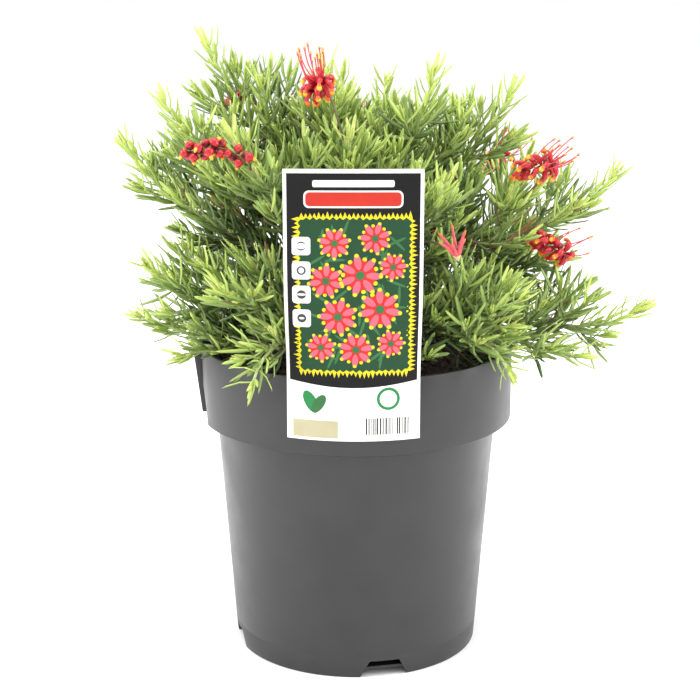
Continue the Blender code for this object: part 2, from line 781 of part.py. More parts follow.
    def grow(self):
        self.stem()
        for centre, radius in self.limb.flowers:
            self.flower(centre, radius)
        phase = self.rng.uniform(0, 360)
        for count in range(TWIGS):
            share = TWIG_FROM + (TWIG_TO - TWIG_FROM) * count / (TWIGS - 1)
            ahead = self.limb.heading(share)
            side = ahead.orthogonal().normalized()
            turn = Matrix.Rotation(math.radians(phase + count * GOLDEN_DEG), 3, ahead)
            spread = math.radians(TWIG_SPREAD_DEG)
            way = ahead * math.cos(spread) + (turn @ side) * math.sin(spread)
            length = self.limb.length * TWIG_REACH * self.rng.uniform(*TWIG_VARIES)
            length *= 1 - TWIG_SHRINKS * count / (TWIGS - 1)
            path = self.twig(self.limb.at(share), way, length, f"twig_{count}")
            if path:
                self.leaves_on_twig(path)
        for count, share in enumerate(STEM_LEAVES):
            angle = phase + STEM_LEAF_TURN_DEG + count * GOLDEN_DEG
            self.leaf(self.limb.at(share), self.limb.heading(share), angle, LEAF_LENGTH)

    def leaves_on_twig(self, path):
        start, middle, end = path
        for count, share in enumerate(TWIG_LEAVES):
            if share < 0.5:
                root = start + (middle - start) * share * 2
            else:
                root = middle + (end - middle) * (share * 2 - 1)
            angle = self.rng.uniform(0, 360) + count * GOLDEN_DEG
            self.leaf(root, (end - middle).normalized(), angle, LEAF_LENGTH)

    def fuse(self):
        """One Boolean union; then only the largest body that it leaves is kept."""
        boolean(self.body, "UNION", self.parts)
        apply_modifiers(self.body)
        for obj in list(self.parts.objects):
            bpy.data.objects.remove(obj)
        bpy.data.collections.remove(self.parts)
        keep_largest(self.body)
        tone = self.rng.uniform(0.9, 1.1)
        color = [channel * tone for channel in LEAF_GREEN]
        self.body.data.materials.clear()
        self.body.data.materials.append(material(self.body.name, color, 0.55))


def keep_largest(obj):
    """Merges the slivers that a union leaves and drops any scrap that came loose."""
    bm = bmesh.new()
    bm.from_mesh(obj.data)
    bmesh.ops.triangulate(bm, faces=bm.faces)
    bmesh.ops.dissolve_degenerate(bm, dist=0.000002, edges=bm.edges)
    left = set(bm.verts)
    bodies = []
    while left:
        body, edge = set(), [left.pop()]
        while edge:
            vert = edge.pop()
            body.add(vert)
            for link in vert.link_edges:
                other = link.other_vert(vert)
                if other in left:
                    left.discard(other)
                    edge.append(other)
        bodies.append(body)
    bodies.sort(key=len)
    scraps = [vert for body in bodies[:-1] for vert in body]
    bmesh.ops.delete(bm, geom=scraps, context="VERTS")
    bm.to_mesh(obj.data)
    bm.free()


def main():
    clear_scene()
    home = collection("potted_grevillea")
    cutters = collection("cutters")
    make_pot(home, cutters)
    make_potting_mix(home)
    make_label(home)
    make_trunk(home)
    limbs, central = plan_limbs()
    everything = limbs + [central]
    give_flowers(everything)
    for limb in limbs:
        make_bough(limb, home)
    for limb in everything:
        first = 0.0 if limb is central else BOUGH_SHARE + GAP / limb.length
        mass = Mass(limb, everything, first, home)
        mass.grow()
        mass.fuse()


main()
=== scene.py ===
"""A flowering grevillea shrub in its round nursery pot, dressed for a close view.

Metres, +Z up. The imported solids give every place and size, and the looks are built round
them: the pot, its potting mix, the plant label, the wood, the leafy shoots and the blossom.
"""

import math
import random

import bmesh
import bpy
import numpy as np
from mathutils import Matrix, Vector
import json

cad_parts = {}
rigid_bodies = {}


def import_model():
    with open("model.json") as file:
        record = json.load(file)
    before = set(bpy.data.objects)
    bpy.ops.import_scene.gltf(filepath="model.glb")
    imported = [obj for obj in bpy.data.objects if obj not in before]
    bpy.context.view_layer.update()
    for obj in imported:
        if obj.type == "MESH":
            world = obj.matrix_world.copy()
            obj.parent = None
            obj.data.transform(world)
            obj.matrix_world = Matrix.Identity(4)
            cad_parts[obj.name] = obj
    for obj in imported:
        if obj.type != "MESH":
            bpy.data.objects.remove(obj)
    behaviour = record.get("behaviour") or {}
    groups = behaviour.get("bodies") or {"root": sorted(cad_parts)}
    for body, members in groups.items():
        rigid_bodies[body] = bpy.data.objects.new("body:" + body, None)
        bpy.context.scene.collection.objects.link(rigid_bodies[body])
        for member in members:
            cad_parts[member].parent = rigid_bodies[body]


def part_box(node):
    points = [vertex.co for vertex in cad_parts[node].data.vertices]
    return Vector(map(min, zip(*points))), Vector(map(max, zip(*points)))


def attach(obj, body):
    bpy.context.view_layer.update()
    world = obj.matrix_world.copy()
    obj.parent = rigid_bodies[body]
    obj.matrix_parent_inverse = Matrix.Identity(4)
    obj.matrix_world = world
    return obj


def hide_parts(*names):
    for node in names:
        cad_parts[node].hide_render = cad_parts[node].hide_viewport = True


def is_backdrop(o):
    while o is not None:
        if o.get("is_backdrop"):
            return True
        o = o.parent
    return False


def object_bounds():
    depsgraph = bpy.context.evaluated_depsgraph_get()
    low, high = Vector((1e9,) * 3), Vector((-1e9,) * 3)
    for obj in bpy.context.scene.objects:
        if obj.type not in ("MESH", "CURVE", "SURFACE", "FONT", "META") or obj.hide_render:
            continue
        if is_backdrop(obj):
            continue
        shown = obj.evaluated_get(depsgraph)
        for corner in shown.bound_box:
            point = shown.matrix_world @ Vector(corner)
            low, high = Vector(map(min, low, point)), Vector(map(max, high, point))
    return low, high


for startup in list(bpy.data.objects):
    bpy.data.objects.remove(startup)
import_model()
cad_low, cad_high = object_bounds()


# The studio: a camera a little above the rim, looking down on the pot, a pale floor that
# runs out of sight, and soft white light from all round with a large panel at each side.
CAMERA_AT = (-0.00395, -1.12392, 0.48268)
CAMERA_DOWN = 0.2525
FOCAL_LENGTH = 92.571
FLOOR_SIZE = 60.0
PANELS = (
    ("key_panel", (-1.8, -0.35, 1.0), 1.5, 36.0),
    ("fill_panel", (1.9, -0.30, 0.9), 1.4, 32.0),
    ("top_panel", (0.0, -0.1, 1.9), 1.6, 32.0),
)

camera_data = bpy.data.cameras.new("camera")
camera_data.sensor_width = 36.0
camera_data.lens = FOCAL_LENGTH
camera = bpy.data.objects.new("camera", camera_data)
camera.location = CAMERA_AT
camera.rotation_euler = (math.pi / 2 - CAMERA_DOWN, 0.0, 0.0)
bpy.context.scene.collection.objects.link(camera)
bpy.context.scene.camera = camera
bpy.context.scene.view_settings.view_transform = "Standard"

for name, place, size, power in PANELS:
    light = bpy.data.lights.new(name, "AREA")
    light.size = size
    light.energy = power
    panel = bpy.data.objects.new(name, light)
    panel.location = place
    panel.rotation_euler = (Vector(place) - Vector((0, 0, 0.2))).to_track_quat("Z", "Y").to_euler()
    bpy.context.scene.collection.objects.link(panel)

world = bpy.data.worlds.new("white_studio")
world.use_nodes = True
world.node_tree.nodes["Background"].inputs["Color"].default_value = (1.0, 1.0, 1.0, 1.0)
world.node_tree.nodes["Background"].inputs["Strength"].default_value = 1.05
bpy.context.scene.world = world


def shown(name, mesh, materials, smooth):
    """A new object from the mesh, with its materials; it sits at the origin."""
    mesh.polygons.foreach_set("use_smooth", [smooth] * len(mesh.polygons))
    for made in materials:
        mesh.materials.append(made)
    obj = bpy.data.objects.new(name, mesh)
    bpy.context.scene.collection.objects.link(obj)
    return obj


def linked(name, bm, materials, smooth=True):
    """A new object from the bmesh, which is freed."""
    mesh = bpy.data.meshes.new(name)
    bm.to_mesh(mesh)
    bm.free()
    return shown(name, mesh, materials, smooth)


def mottle_group():
    """Two tones mixed by a noise, with a roughness and a height that follow it."""
    group = bpy.data.node_groups.new("mottle", "ShaderNodeTree")
    given = ("Tone A", "Tone B", "Scale", "Detail", "Low Roughness", "High Roughness", "Stretch")
    for side, names in (("INPUT", given), ("OUTPUT", ("Color", "Roughness", "Height"))):
        for name in names:
            kind = "NodeSocketColor" if name.startswith(("Tone", "Color")) else "NodeSocketFloat"
            group.interface.new_socket(name, in_out=side, socket_type=kind)
    start = group.nodes.new("NodeGroupInput")
    end = group.nodes.new("NodeGroupOutput")
    kinds = ("TexCoord", "CombineXYZ", "Mapping", "TexNoise", "Mix", "MapRange", "MapRange")
    place, stretch, mapping, noise, tones, contrast, rough = (
        group.nodes.new("ShaderNode" + kind) for kind in kinds
    )
    tones.data_type = "RGBA"
    stretch.inputs["X"].default_value = 1.0
    stretch.inputs["Y"].default_value = 1.0
    contrast.inputs["From Min"].default_value = 0.32
    contrast.inputs["From Max"].default_value = 0.68
    wires = (
        (start, "Stretch", stretch, "Z"),
        (place, "Object", mapping, "Vector"),
        (stretch, "Vector", mapping, "Scale"),
        (mapping, "Vector", noise, "Vector"),
        (start, "Scale", noise, "Scale"),
        (start, "Detail", noise, "Detail"),
        (noise, "Fac", contrast, "Value"),
        (contrast, "Result", tones, "Factor"),
        (start, "Tone A", tones, "A"),
        (start, "Tone B", tones, "B"),
        (contrast, "Result", rough, "Value"),
        (start, "Low Roughness", rough, "To Min"),
        (start, "High Roughness", rough, "To Max"),
        (tones, "Result", end, "Color"),
        (rough, "Result", end, "Roughness"),
        (noise, "Fac", end, "Height"),
    )
    for source, out, target, into in wires:
        group.links.new(source.outputs[out], target.inputs[into])
    return group


mottle = mottle_group()


def dressed(name, tone, other, scale, rough, bump=0.0, stretch=1.0, detail=4.0, specular=0.5):
    """A material of two close tones; rough is the pair of roughness limits."""
    made = bpy.data.materials.new(name)
    made.use_nodes = True
    nodes, links = made.node_tree.nodes, made.node_tree.links
    shader = nodes["Principled BSDF"]
    pattern = nodes.new("ShaderNodeGroup")
    pattern.node_tree = mottle
    values = ((*tone, 1.0), (*other, 1.0), scale, detail, *rough, stretch)
    for socket, value in zip(pattern.inputs, values):
        socket.default_value = value
    links.new(pattern.outputs["Color"], shader.inputs["Base Color"])
    links.new(pattern.outputs["Roughness"], shader.inputs["Roughness"])
    shader.inputs["Specular IOR Level"].default_value = specular
    if bump:
        relief = nodes.new("ShaderNodeBump")
        relief.inputs["Distance"].default_value = bump
        links.new(pattern.outputs["Height"], relief.inputs["Height"])
        links.new(relief.outputs["Normal"], shader.inputs["Normal"])
    return made


floor_bm = bmesh.new()
bmesh.ops.create_grid(floor_bm, x_segments=1, y_segments=1, size=FLOOR_SIZE / 2)
pale = dressed("pale_floor", (0.93, 0.93, 0.93), (0.95, 0.95, 0.95), 2.0, (0.8, 0.9))
floor = linked("floor", floor_bm, [pale])
floor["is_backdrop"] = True


# The pot: a thin moulded shell in charcoal plastic with a straight collar over a tapering
# body. Four notches drain its foot, and its left side is pressed flat to carry a tag plate.
pot_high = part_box("pot")[1]
POT_HEIGHT = pot_high.z
RIM_RADIUS = pot_high.y
COLLAR_HEIGHT = 0.048
COLLAR_FOOT = POT_HEIGHT - COLLAR_HEIGHT
BODY_TOP_RADIUS = 0.090
BASE_RADIUS = 0.0785
WALL = 0.0018
EDGE = 0.0006
FLOOR_UNDERSIDE = 0.0042
CENTRE_FOOT_RADIUS = 0.020
POT_STEPS = 176
RING_LINE = 0.0140
RING_DEPTH = 0.00025
NOTCHES = 4
FIRST_NOTCH_DEG = -77
NOTCH_FOOT_WIDTH = 0.031
NOTCH_TOP_WIDTH = 0.019
NOTCH_HEIGHT = 0.011
NOTCH_DEPTH = 0.0065
FLAT_AT_RIM = 0.100
FLAT_AT_FOOT = 0.094
TAG_WIDTH = 0.030
TAG_PROUD = 0.0042
TAG_SUNK = 0.0010
POT_EDGE_ROUND = 0.00045
TAG_EDGE_ROUND = 0.0007
TAG_FOOT = 0.1556
TAG_TOP = 0.1960
SHARP = math.radians(28)


def body_radius(height):
    return BASE_RADIUS + (BODY_TOP_RADIUS - BASE_RADIUS) * height / COLLAR_FOOT


def spun(profile, steps):
    """A bmesh that a profile of (radius, height) points sweeps round the Z axis."""
    bm = bmesh.new()
    corners = [bm.verts.new((radius, 0.0, height)) for radius, height in profile]
    line = [bm.edges.new(pair) for pair in zip(corners, corners[1:])]
    turn = 2 * math.pi
    bmesh.ops.spin(bm, geom=corners + line, axis=(0, 0, 1), angle=turn, steps=steps, use_merge=True)
    bmesh.ops.remove_doubles(bm, verts=bm.verts, dist=0.000001)
    loose = [edge for edge in bm.edges if not edge.link_faces]
    bmesh.ops.delete(bm, geom=loose, context="EDGES")
    bmesh.ops.recalc_face_normals(bm, faces=bm.faces)
    return bm


def round_edges(bm, width, segments=2):
    joined = [edge for edge in bm.edges if len(edge.link_faces) == 2]
    sharp = [edge for edge in joined if edge.calc_face_angle() > SHARP]
    cuts = {"offset": width, "segments": segments, "profile": 0.5, "affect": "EDGES"}
    bmesh.ops.bevel(bm, geom=sharp, material=-1, clamp_overlap=True, **cuts)


def flat_distance(height):
    """How far the collar's pressed flat lies from the axis at this height."""
    fall = (POT_HEIGHT - height) / COLLAR_HEIGHT
    return FLAT_AT_RIM + (FLAT_AT_FOOT - FLAT_AT_RIM) * fall


def settle(obj):
    """Swaps the object's mesh for the one that its modifiers make."""
    graph = bpy.context.evaluated_depsgraph_get()
    made = bpy.data.meshes.new_from_object(obj.evaluated_get(graph))
    obj.modifiers.clear()
    obj.data = made


inner = RIM_RADIUS - WALL
pot_profile = [
    (inner, POT_HEIGHT),
    (RIM_RADIUS, POT_HEIGHT),
    (RIM_RADIUS, COLLAR_FOOT + COLLAR_HEIGHT / 2),
    (RIM_RADIUS, COLLAR_FOOT + EDGE),
    (RIM_RADIUS - 2 * EDGE, COLLAR_FOOT),
    (BODY_TOP_RADIUS + EDGE, COLLAR_FOOT),
    (body_radius(COLLAR_FOOT - 2 * EDGE), COLLAR_FOOT - 2 * EDGE),
    (body_radius(RING_LINE + EDGE), RING_LINE + EDGE),
    (body_radius(RING_LINE) - RING_DEPTH, RING_LINE),
    (body_radius(RING_LINE - EDGE), RING_LINE - EDGE),
    (BASE_RADIUS, EDGE),
    (BASE_RADIUS - EDGE, 0.0),
    (BASE_RADIUS - WALL, 0.0),
    (BASE_RADIUS - WALL, FLOOR_UNDERSIDE),
    (CENTRE_FOOT_RADIUS, FLOOR_UNDERSIDE),
    (CENTRE_FOOT_RADIUS, 0.0),
    (0.0, 0.0),
    (0.0, WALL),
    (CENTRE_FOOT_RADIUS - WALL, WALL),
    (CENTRE_FOOT_RADIUS - WALL, FLOOR_UNDERSIDE + WALL),
    (body_radius(FLOOR_UNDERSIDE) - WALL, FLOOR_UNDERSIDE + WALL),
    (BODY_TOP_RADIUS - WALL, COLLAR_FOOT + WALL),
    (inner, COLLAR_FOOT + WALL),
    (inner, COLLAR_FOOT + COLLAR_HEIGHT / 2),
    (inner, POT_HEIGHT),
]
pot_bm = spun(pot_profile, POT_STEPS)
for vert in pot_bm.verts:
    if vert.co.z > COLLAR_FOOT - EDGE:
        within = math.hypot(vert.co.x, vert.co.y) < RIM_RADIUS - WALL / 2 - EDGE
        vert.co.x = max(vert.co.x, (WALL if within else 0.0) - flat_distance(vert.co.z))
round_edges(pot_bm, POT_EDGE_ROUND)
charcoal, paler_charcoal = (0.027, 0.027, 0.028), (0.034, 0.034, 0.035)
grain = {"bump": 0.00012, "detail": 9.0, "specular": 0.33}
pot_plastic = dressed("charcoal_plastic", charcoal, paler_charcoal, 34.0, (0.30, 0.42), **grain)
pot = linked("pot_shell", pot_bm, [pot_plastic])
cutters = bpy.data.collections.new("notch_cutters")
bpy.context.scene.collection.children.link(cutters)
notch_blocks = []
for count in range(NOTCHES):
    notch_bm = bmesh.new()
    bmesh.ops.create_cube(notch_bm, size=1.0)
    for vert in notch_bm.verts:
        top = vert.co.z > 0
        width = NOTCH_TOP_WIDTH if top else 2 * NOTCH_FOOT_WIDTH - NOTCH_TOP_WIDTH
        vert.co.x = BASE_RADIUS + vert.co.x * NOTCH_DEPTH
        vert.co.y *= width
        vert.co.z = NOTCH_HEIGHT if top else -NOTCH_HEIGHT
    turn = Matrix.Rotation(math.radians(FIRST_NOTCH_DEG + count * 360 / NOTCHES), 3, "Z")
    bmesh.ops.rotate(notch_bm, matrix=turn, verts=notch_bm.verts)
    block = linked(f"notch_{count}", notch_bm, [], smooth=False)
    bpy.context.scene.collection.objects.unlink(block)
    cutters.objects.link(block)
    notch_blocks.append(block)
cut = pot.modifiers.new("notches", "BOOLEAN")
cut.operation = "DIFFERENCE"
cut.operand_type = "COLLECTION"
cut.collection = cutters
settle(pot)
for block in notch_blocks:
    bpy.data.objects.remove(block)
bpy.data.collections.remove(cutters)
pot.data.set_sharp_from_angle(angle=SHARP)
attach(pot, "root")
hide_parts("pot")

tag_bm = bmesh.new()
bmesh.ops.create_cube(tag_bm, size=1.0)
tag_size = (TAG_PROUD + TAG_SUNK, TAG_WIDTH, TAG_TOP - TAG_FOOT)
bmesh.ops.scale(tag_bm, vec=tag_size, verts=tag_bm.verts)
for vert in tag_bm.verts:
    vert.co.z += (TAG_TOP + TAG_FOOT) / 2
    vert.co.x -= flat_distance(vert.co.z) + (TAG_PROUD - TAG_SUNK) / 2
round_edges(tag_bm, TAG_EDGE_ROUND, 3)
tag = linked("pot_tag_plate", tag_bm, [pot_plastic])
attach(tag, "root")


# The potting mix: composted bark, filled to a little under the rim. Its surface is a bed of
# fine crumbs with flakes and chips of bark strewn over it.
MIX_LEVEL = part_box("trunk")[0].z - 0.0006
MIX_AT_WALL = MIX_LEVEL - 0.003
MIX_DEPTH = 0.030
MIX_STEPS = 120
MIX_RINGS = 34
MIX_ROUGH = 0.0011
MIX_RADIUS = RIM_RADIUS - WALL - 0.0008
CHIPS = 1500
CHIP_LENGTH = (0.003, 0.010)
CHIP_WIDTH = (0.0015, 0.0045)
CHIP_THICKNESS = (0.0007, 0.0018)


def mix_height(radius):
    share = min(1.0, radius / MIX_RADIUS)
    return MIX_LEVEL + (MIX_AT_WALL - MIX_LEVEL) * share * share * (3 - 2 * share)


def mesh_piece(name, points, faces, tones, materials, smooth=True):
    """One joined mesh: points are copies x corners x 3, faces index one copy's corners."""
    copies, corners = points.shape[:2]
    every = (faces[None] + np.arange(copies)[:, None, None] * corners).reshape(-1, faces.shape[1])
    mesh = bpy.data.meshes.new(name)
    mesh.from_pydata(points.reshape(-1, 3).tolist(), [], every.tolist())
    obj = shown(name, mesh, materials, smooth)
    tones = np.asarray(tones)
    if tones.ndim == 1:
        tones = np.repeat(tones, len(faces)).reshape(copies, len(faces))
    mesh.polygons.foreach_set("material_index", tones.astype(np.int32).ravel())
    mesh.update()
    return obj


mix_profile = [(MIX_RADIUS * ring / MIX_RINGS, 0.0) for ring in range(MIX_RINGS + 1)]
mix_profile = [(radius, mix_height(radius)) for radius, _ in mix_profile]
mix_profile += [(MIX_RADIUS, MIX_LEVEL - MIX_DEPTH), (0.0, MIX_LEVEL - MIX_DEPTH)]
mix_bm = spun(list(reversed(mix_profile)), MIX_STEPS)
mix_rng = random.Random(5)
for vert in mix_bm.verts:
    radius = math.hypot(vert.co.x, vert.co.y)
    if vert.co.z > MIX_AT_WALL - 0.001 and radius < MIX_RADIUS - 0.001:
        vert.co.z += mix_rng.uniform(-MIX_ROUGH, MIX_ROUGH)
    if vert.co.x < -FLAT_AT_FOOT + WALL + 2 * EDGE:
        vert.co.x = max(vert.co.x, WALL + 2 * EDGE - flat_distance(vert.co.z))
crumbs = dressed(
    "bark_crumbs", (0.020, 0.012, 0.008), (0.065, 0.040, 0.024), 420.0, (0.85, 1.0), bump=0.0012
)
mix = linked("mix_bed", mix_bm, [crumbs])
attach(mix, "root")
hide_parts("potting_mix")

chip_rng = np.random.default_rng(8)
chip_bm = bmesh.new()
bmesh.ops.create_cube(chip_bm, size=1.0)
bmesh.ops.triangulate(chip_bm, faces=chip_bm.faces)
chip_points = np.array([vert.co for vert in chip_bm.verts])
chip_faces = np.array([[vert.index for vert in face.verts] for face in chip_bm.faces])
chip_bm.free()
radius = (MIX_RADIUS - 0.006) * np.sqrt(chip_rng.uniform(0.02, 1.0, CHIPS))
angle = chip_rng.uniform(0, 2 * math.pi, CHIPS)
limits = np.array([CHIP_LENGTH, CHIP_WIDTH, CHIP_THICKNESS])
sizes = chip_rng.uniform(limits[:, 0], limits[:, 1], (CHIPS, 3))
corner = chip_points[None] * sizes[:, None] * chip_rng.uniform(0.65, 1.1, (CHIPS, 8, 3))
turns = [
    Matrix.Rotation(chip_rng.uniform(0, 2 * math.pi), 3, "Z")
    @ Matrix.Rotation(chip_rng.normal(0, 0.35), 3, "X")
    @ Matrix.Rotation(chip_rng.normal(0, 0.25), 3, "Y")
    for _ in range(CHIPS)
]
corner = np.einsum("nij,nkj->nki", np.array(turns), corner)
levels = np.array([mix_height(value) for value in radius]) + sizes[:, 2] * 0.35
corner += np.stack([radius * np.cos(angle), radius * np.sin(angle), levels], axis=1)[:, None]
inside = corner[:, :, 0].min(axis=1) > -FLAT_AT_FOOT + 0.004
chip_tones = chip_rng.integers(0, 3, CHIPS)
bark_chips = [
    dressed(f"bark_chip_{count}", tone, [value * 1.7 for value in tone], 300.0, (0.8, 0.95), 0.0004)
    for count, tone in enumerate(((0.030, 0.018, 0.011), (0.060, 0.036, 0.021), (0.016, 0.011, 0.009)))
]
chips = mesh_piece("mix_chips", corner[inside], chip_faces, chip_tones[inside], bark_chips, False)
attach(chips, "root")


# The plant label: a stiff printed card that a tongue behind it hooks over the rim. It is
# bent round the collar and springs nearly flat above it. Its print is a dark panel with a
# framed picture of blossom over a white foot, and nothing on it can be read.
GAP = 0.00035
LABEL_WIDTH = 0.081
LABEL_FOOT = 0.1625
LABEL_TOP = 0.3265
LABEL_THICKNESS = 0.0006
LABEL_CENTRE = -0.002
LABEL_LEAN = 0.006
LABEL_FLATTENS_OVER = 0.080
LABEL_FLATTENING = 0.90
TONGUE_WIDTH = 0.036
TONGUE_FOOT = 0.189
TONGUE_INSIDE = 0.0012
CARD_CELL = 0.0030
INK = 0.00005
INK_LIFT = 0.000012


def label_place(across, up, proud):
    """The card's bent surface: across from its middle, up from its foot, proud of its back."""
    height = LABEL_FOOT + up
    above = max(0.0, height - POT_HEIGHT)
    flatter = min(1.0, above / LABEL_FLATTENS_OVER)
    flatter = flatter * flatter * (3 - 2 * flatter)
    back = RIM_RADIUS + GAP
    radius = back / (1.0 - LABEL_FLATTENING * flatter)
    lean = LABEL_LEAN * above / (LABEL_TOP - POT_HEIGHT)
    angle = (LABEL_CENTRE + across) / radius
    x = (radius + proud) * math.sin(angle)
    y = radius - back - lean - (radius + proud) * math.cos(angle)
    return Vector((x, y, height))


def bend_card(bm):
    """Flat work lies in XY with its height over the card's back as Z; this bends it into place."""
    for vert in bm.verts:
        vert.co = label_place(vert.co.x, vert.co.y, vert.co.z)
    bmesh.ops.recalc_face_normals(bm, faces=bm.faces)


LABEL_HEIGHT = LABEL_TOP - LABEL_FOOT
card_bm = bmesh.new()
cells = [round(side / CARD_CELL) for side in (LABEL_WIDTH, LABEL_HEIGHT)]
bmesh.ops.create_grid(card_bm, x_segments=cells[0], y_segments=cells[1], size=0.5)
bmesh.ops.scale(card_bm, vec=(LABEL_WIDTH, LABEL_HEIGHT, 1.0), verts=card_bm.verts)
bmesh.ops.translate(card_bm, vec=(0, LABEL_HEIGHT / 2, 0), verts=card_bm.verts)
front = bmesh.ops.extrude_face_region(card_bm, geom=list(card_bm.faces))["geom"]
front = [item for item in front if isinstance(item, bmesh.types.BMVert)]
bmesh.ops.translate(card_bm, vec=(0, 0, LABEL_THICKNESS), verts=front)
bend_card(card_bm)
card_tones = (0.80, 0.80, 0.77), (0.84, 0.84, 0.82)
white_card = dressed("white_card", *card_tones, 60.0, (0.30, 0.38), bump=0.00004)
card = linked("label_card", card_bm, [white_card])
card.data.set_sharp_from_angle(angle=SHARP)
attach(card, "root")
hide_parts("plant_label")

tongue_route = (
    (RIM_RADIUS + GAP, POT_HEIGHT + GAP),
    (RIM_RADIUS - WALL / 2, POT_HEIGHT + GAP),
    (RIM_RADIUS - WALL - TONGUE_INSIDE, POT_HEIGHT + GAP),
    (RIM_RADIUS - WALL - TONGUE_INSIDE, TONGUE_FOOT),
)
tongue_start = (LABEL_CENTRE - TONGUE_WIDTH / 2) / RIM_RADIUS
tongue_bm = bmesh.new()
tongue_corners = [
    tongue_bm.verts.new((r * math.sin(tongue_start), -r * math.cos(tongue_start), z))
    for r, z in tongue_route
]
tongue_line = [tongue_bm.edges.new(pair) for pair in zip(tongue_corners, tongue_corners[1:])]
across = TONGUE_WIDTH / RIM_RADIUS
tongue_edge = tongue_corners + tongue_line
bmesh.ops.spin(tongue_bm, geom=tongue_edge, axis=(0, 0, 1), angle=across, steps=16)
bmesh.ops.recalc_face_normals(tongue_bm, faces=tongue_bm.faces)
tongue = linked("label_tongue", tongue_bm, [white_card])
thick = tongue.modifiers.new("card", "SOLIDIFY")
thick.thickness = LABEL_THICKNESS
thick.offset = 1.0
settle(tongue)
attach(tongue, "root")

# The print lies on the card in thin films of ink, one over the other. Places are in
# millimetres across from the card's middle and up from its foot.
MM = 0.001
INKS = {
    "charcoal": (0.008, 0.008, 0.008),
    "white": (0.82, 0.82, 0.80),
    "red": (0.52, 0.035, 0.022),
    "yellow": (0.66, 0.56, 0.02),
    "green": (0.016, 0.060, 0.026),
    "leaf": (0.045, 0.150, 0.055),
    "scarlet": (0.56, 0.030, 0.025),
    "pink": (0.60, 0.130, 0.180),
    "cream": (0.46, 0.420, 0.270),
    "grey": (0.060, 0.060, 0.060),
    "fern": (0.030, 0.220, 0.070),
}
ink_names = list(INKS)
ink_materials = [
    dressed(f"ink_{name}", tone, [value * 0.9 for value in tone], 90.0, (0.42, 0.50), specular=0.16)
    for name, tone in INKS.items()
]
print_bm = bmesh.new()


def ink(shape, name, layer):
    """Lays a flat outline, given as points in millimetres, as a film of ink."""
    bm = bmesh.new()
    corners = [bm.verts.new((x * MM, y * MM, 0.0)) for x, y in shape]
    bm.faces.new(corners)
    steps = [(Vector((1, 0, 0)), LABEL_WIDTH / 2, 0), (Vector((0, 1, 0)), LABEL_HEIGHT, 1)]
    for normal, reach, axis in steps:
        low = min(vert.co[axis] for vert in bm.verts)
        high = max(vert.co[axis] for vert in bm.verts)
        cell = math.floor(low / CARD_CELL) + 1
        while cell * CARD_CELL < high:
            bmesh.ops.bisect_plane(
                bm,
                geom=list(bm.verts) + list(bm.edges) + list(bm.faces),
                plane_co=normal * cell * CARD_CELL,
                plane_no=normal,
            )
            cell += 1
    bmesh.ops.triangulate(bm, faces=bm.faces)
    top = bmesh.ops.extrude_face_region(bm, geom=list(bm.faces))["geom"]
    for item in top:
        if isinstance(item, bmesh.types.BMVert):
            item.co.z = LABEL_THICKNESS + INK + layer * INK_LIFT
    for vert in bm.verts:
        if vert.co.z == 0.0:
            vert.co.z = LABEL_THICKNESS - INK
    bend_card(bm)
    for face in bm.faces:
        face.material_index = ink_names.index(name)
    mesh = bpy.data.meshes.new("film")
    bm.to_mesh(mesh)
    bm.free()
    print_bm.from_mesh(mesh)
    bpy.data.meshes.remove(mesh)


def block(left, low, right, high, corner=0.0):
    """A rectangle, with rounded corners where a corner radius is given."""
    if not corner:
        return [(left, low), (right, low), (right, high), (left, high)]
    shape = []
    centres = ((right, high), (left, high), (left, low), (right, low))
    for quarter, (x, y) in enumerate(centres):
        x += -corner if x == right else corner
        y += -corner if y == high else corner
        for step in range(5):
            turn = math.pi / 2 * (quarter + step / 4)
            shape.append((x + corner * math.cos(turn), y + corner * math.sin(turn)))
    return shape


def oval(x, y, wide, tall, turn=0.0, points=18):
    shape = []
    cos, sin = math.cos(turn), math.sin(turn)
    for step in range(points):
        angle = 2 * math.pi * step / points
        a, b = wide / 2 * math.cos(angle), tall / 2 * math.sin(angle)
        shape.append((x + a * cos - b * sin, y + a * sin + b * cos))
    return shape


def jagged(left, low, right, high, depth, pitch):
    """A rectangle whose edge runs in and out like torn grass."""
    rng = random.Random(3)
    sides = (((left, low), (right, low)), ((right, low), (right, high)))
    sides += (((right, high), (left, high)), ((left, high), (left, low)))
    shape = []
    for (x0, y0), (x1, y1) in sides:
        length = math.hypot(x1 - x0, y1 - y0)
        count = max(4, round(length / pitch))
        nx, ny = (y1 - y0) / length, (x0 - x1) / length
        for step in range(count):
            share = step / count
            out = rng.uniform(0.45, 1.0) * depth * (1 if step % 2 else -0.15)
            shape.append((x0 + (x1 - x0) * share + nx * out, y0 + (y1 - y0) * share + ny * out))
    return shape


PANEL_TOP, PANEL_FOOT, PANEL_SAG = 161.6, 36.5, 3.6
panel = [(-38.4, PANEL_TOP), (-38.4, PANEL_FOOT)]
panel += [
    (-38.4 + 76.8 * step / 12, PANEL_FOOT - PANEL_SAG * math.sin(math.pi * step / 12))
    for step in range(1, 12)
]
panel += [(38.4, PANEL_FOOT), (38.4, PANEL_TOP)]
ink(panel, "charcoal", 1)
ink(block(-23.5, 153.6, 23.5, 157.6, 1.0), "white", 2)
ink(block(-28.6, 141.4, 28.6, 151.6, 3.0), "white", 2)
ink(block(-27.6, 142.4, 27.6, 150.6, 2.4), "red", 3)
ink(jagged(-32.4, 42.2, 34.0, 136.2, 3.6, 1.25), "yellow", 2)
ink(jagged(-30.8, 43.8, 32.4, 134.6, 1.6, 1.9), "green", 3)
picture_rng = random.Random(21)
for _ in range(60):
    x, y = picture_rng.uniform(-25, 27), picture_rng.uniform(50, 129)
    ink(oval(x, y, 13.0, 1.8, picture_rng.uniform(0, math.pi), 8), "leaf", 4)
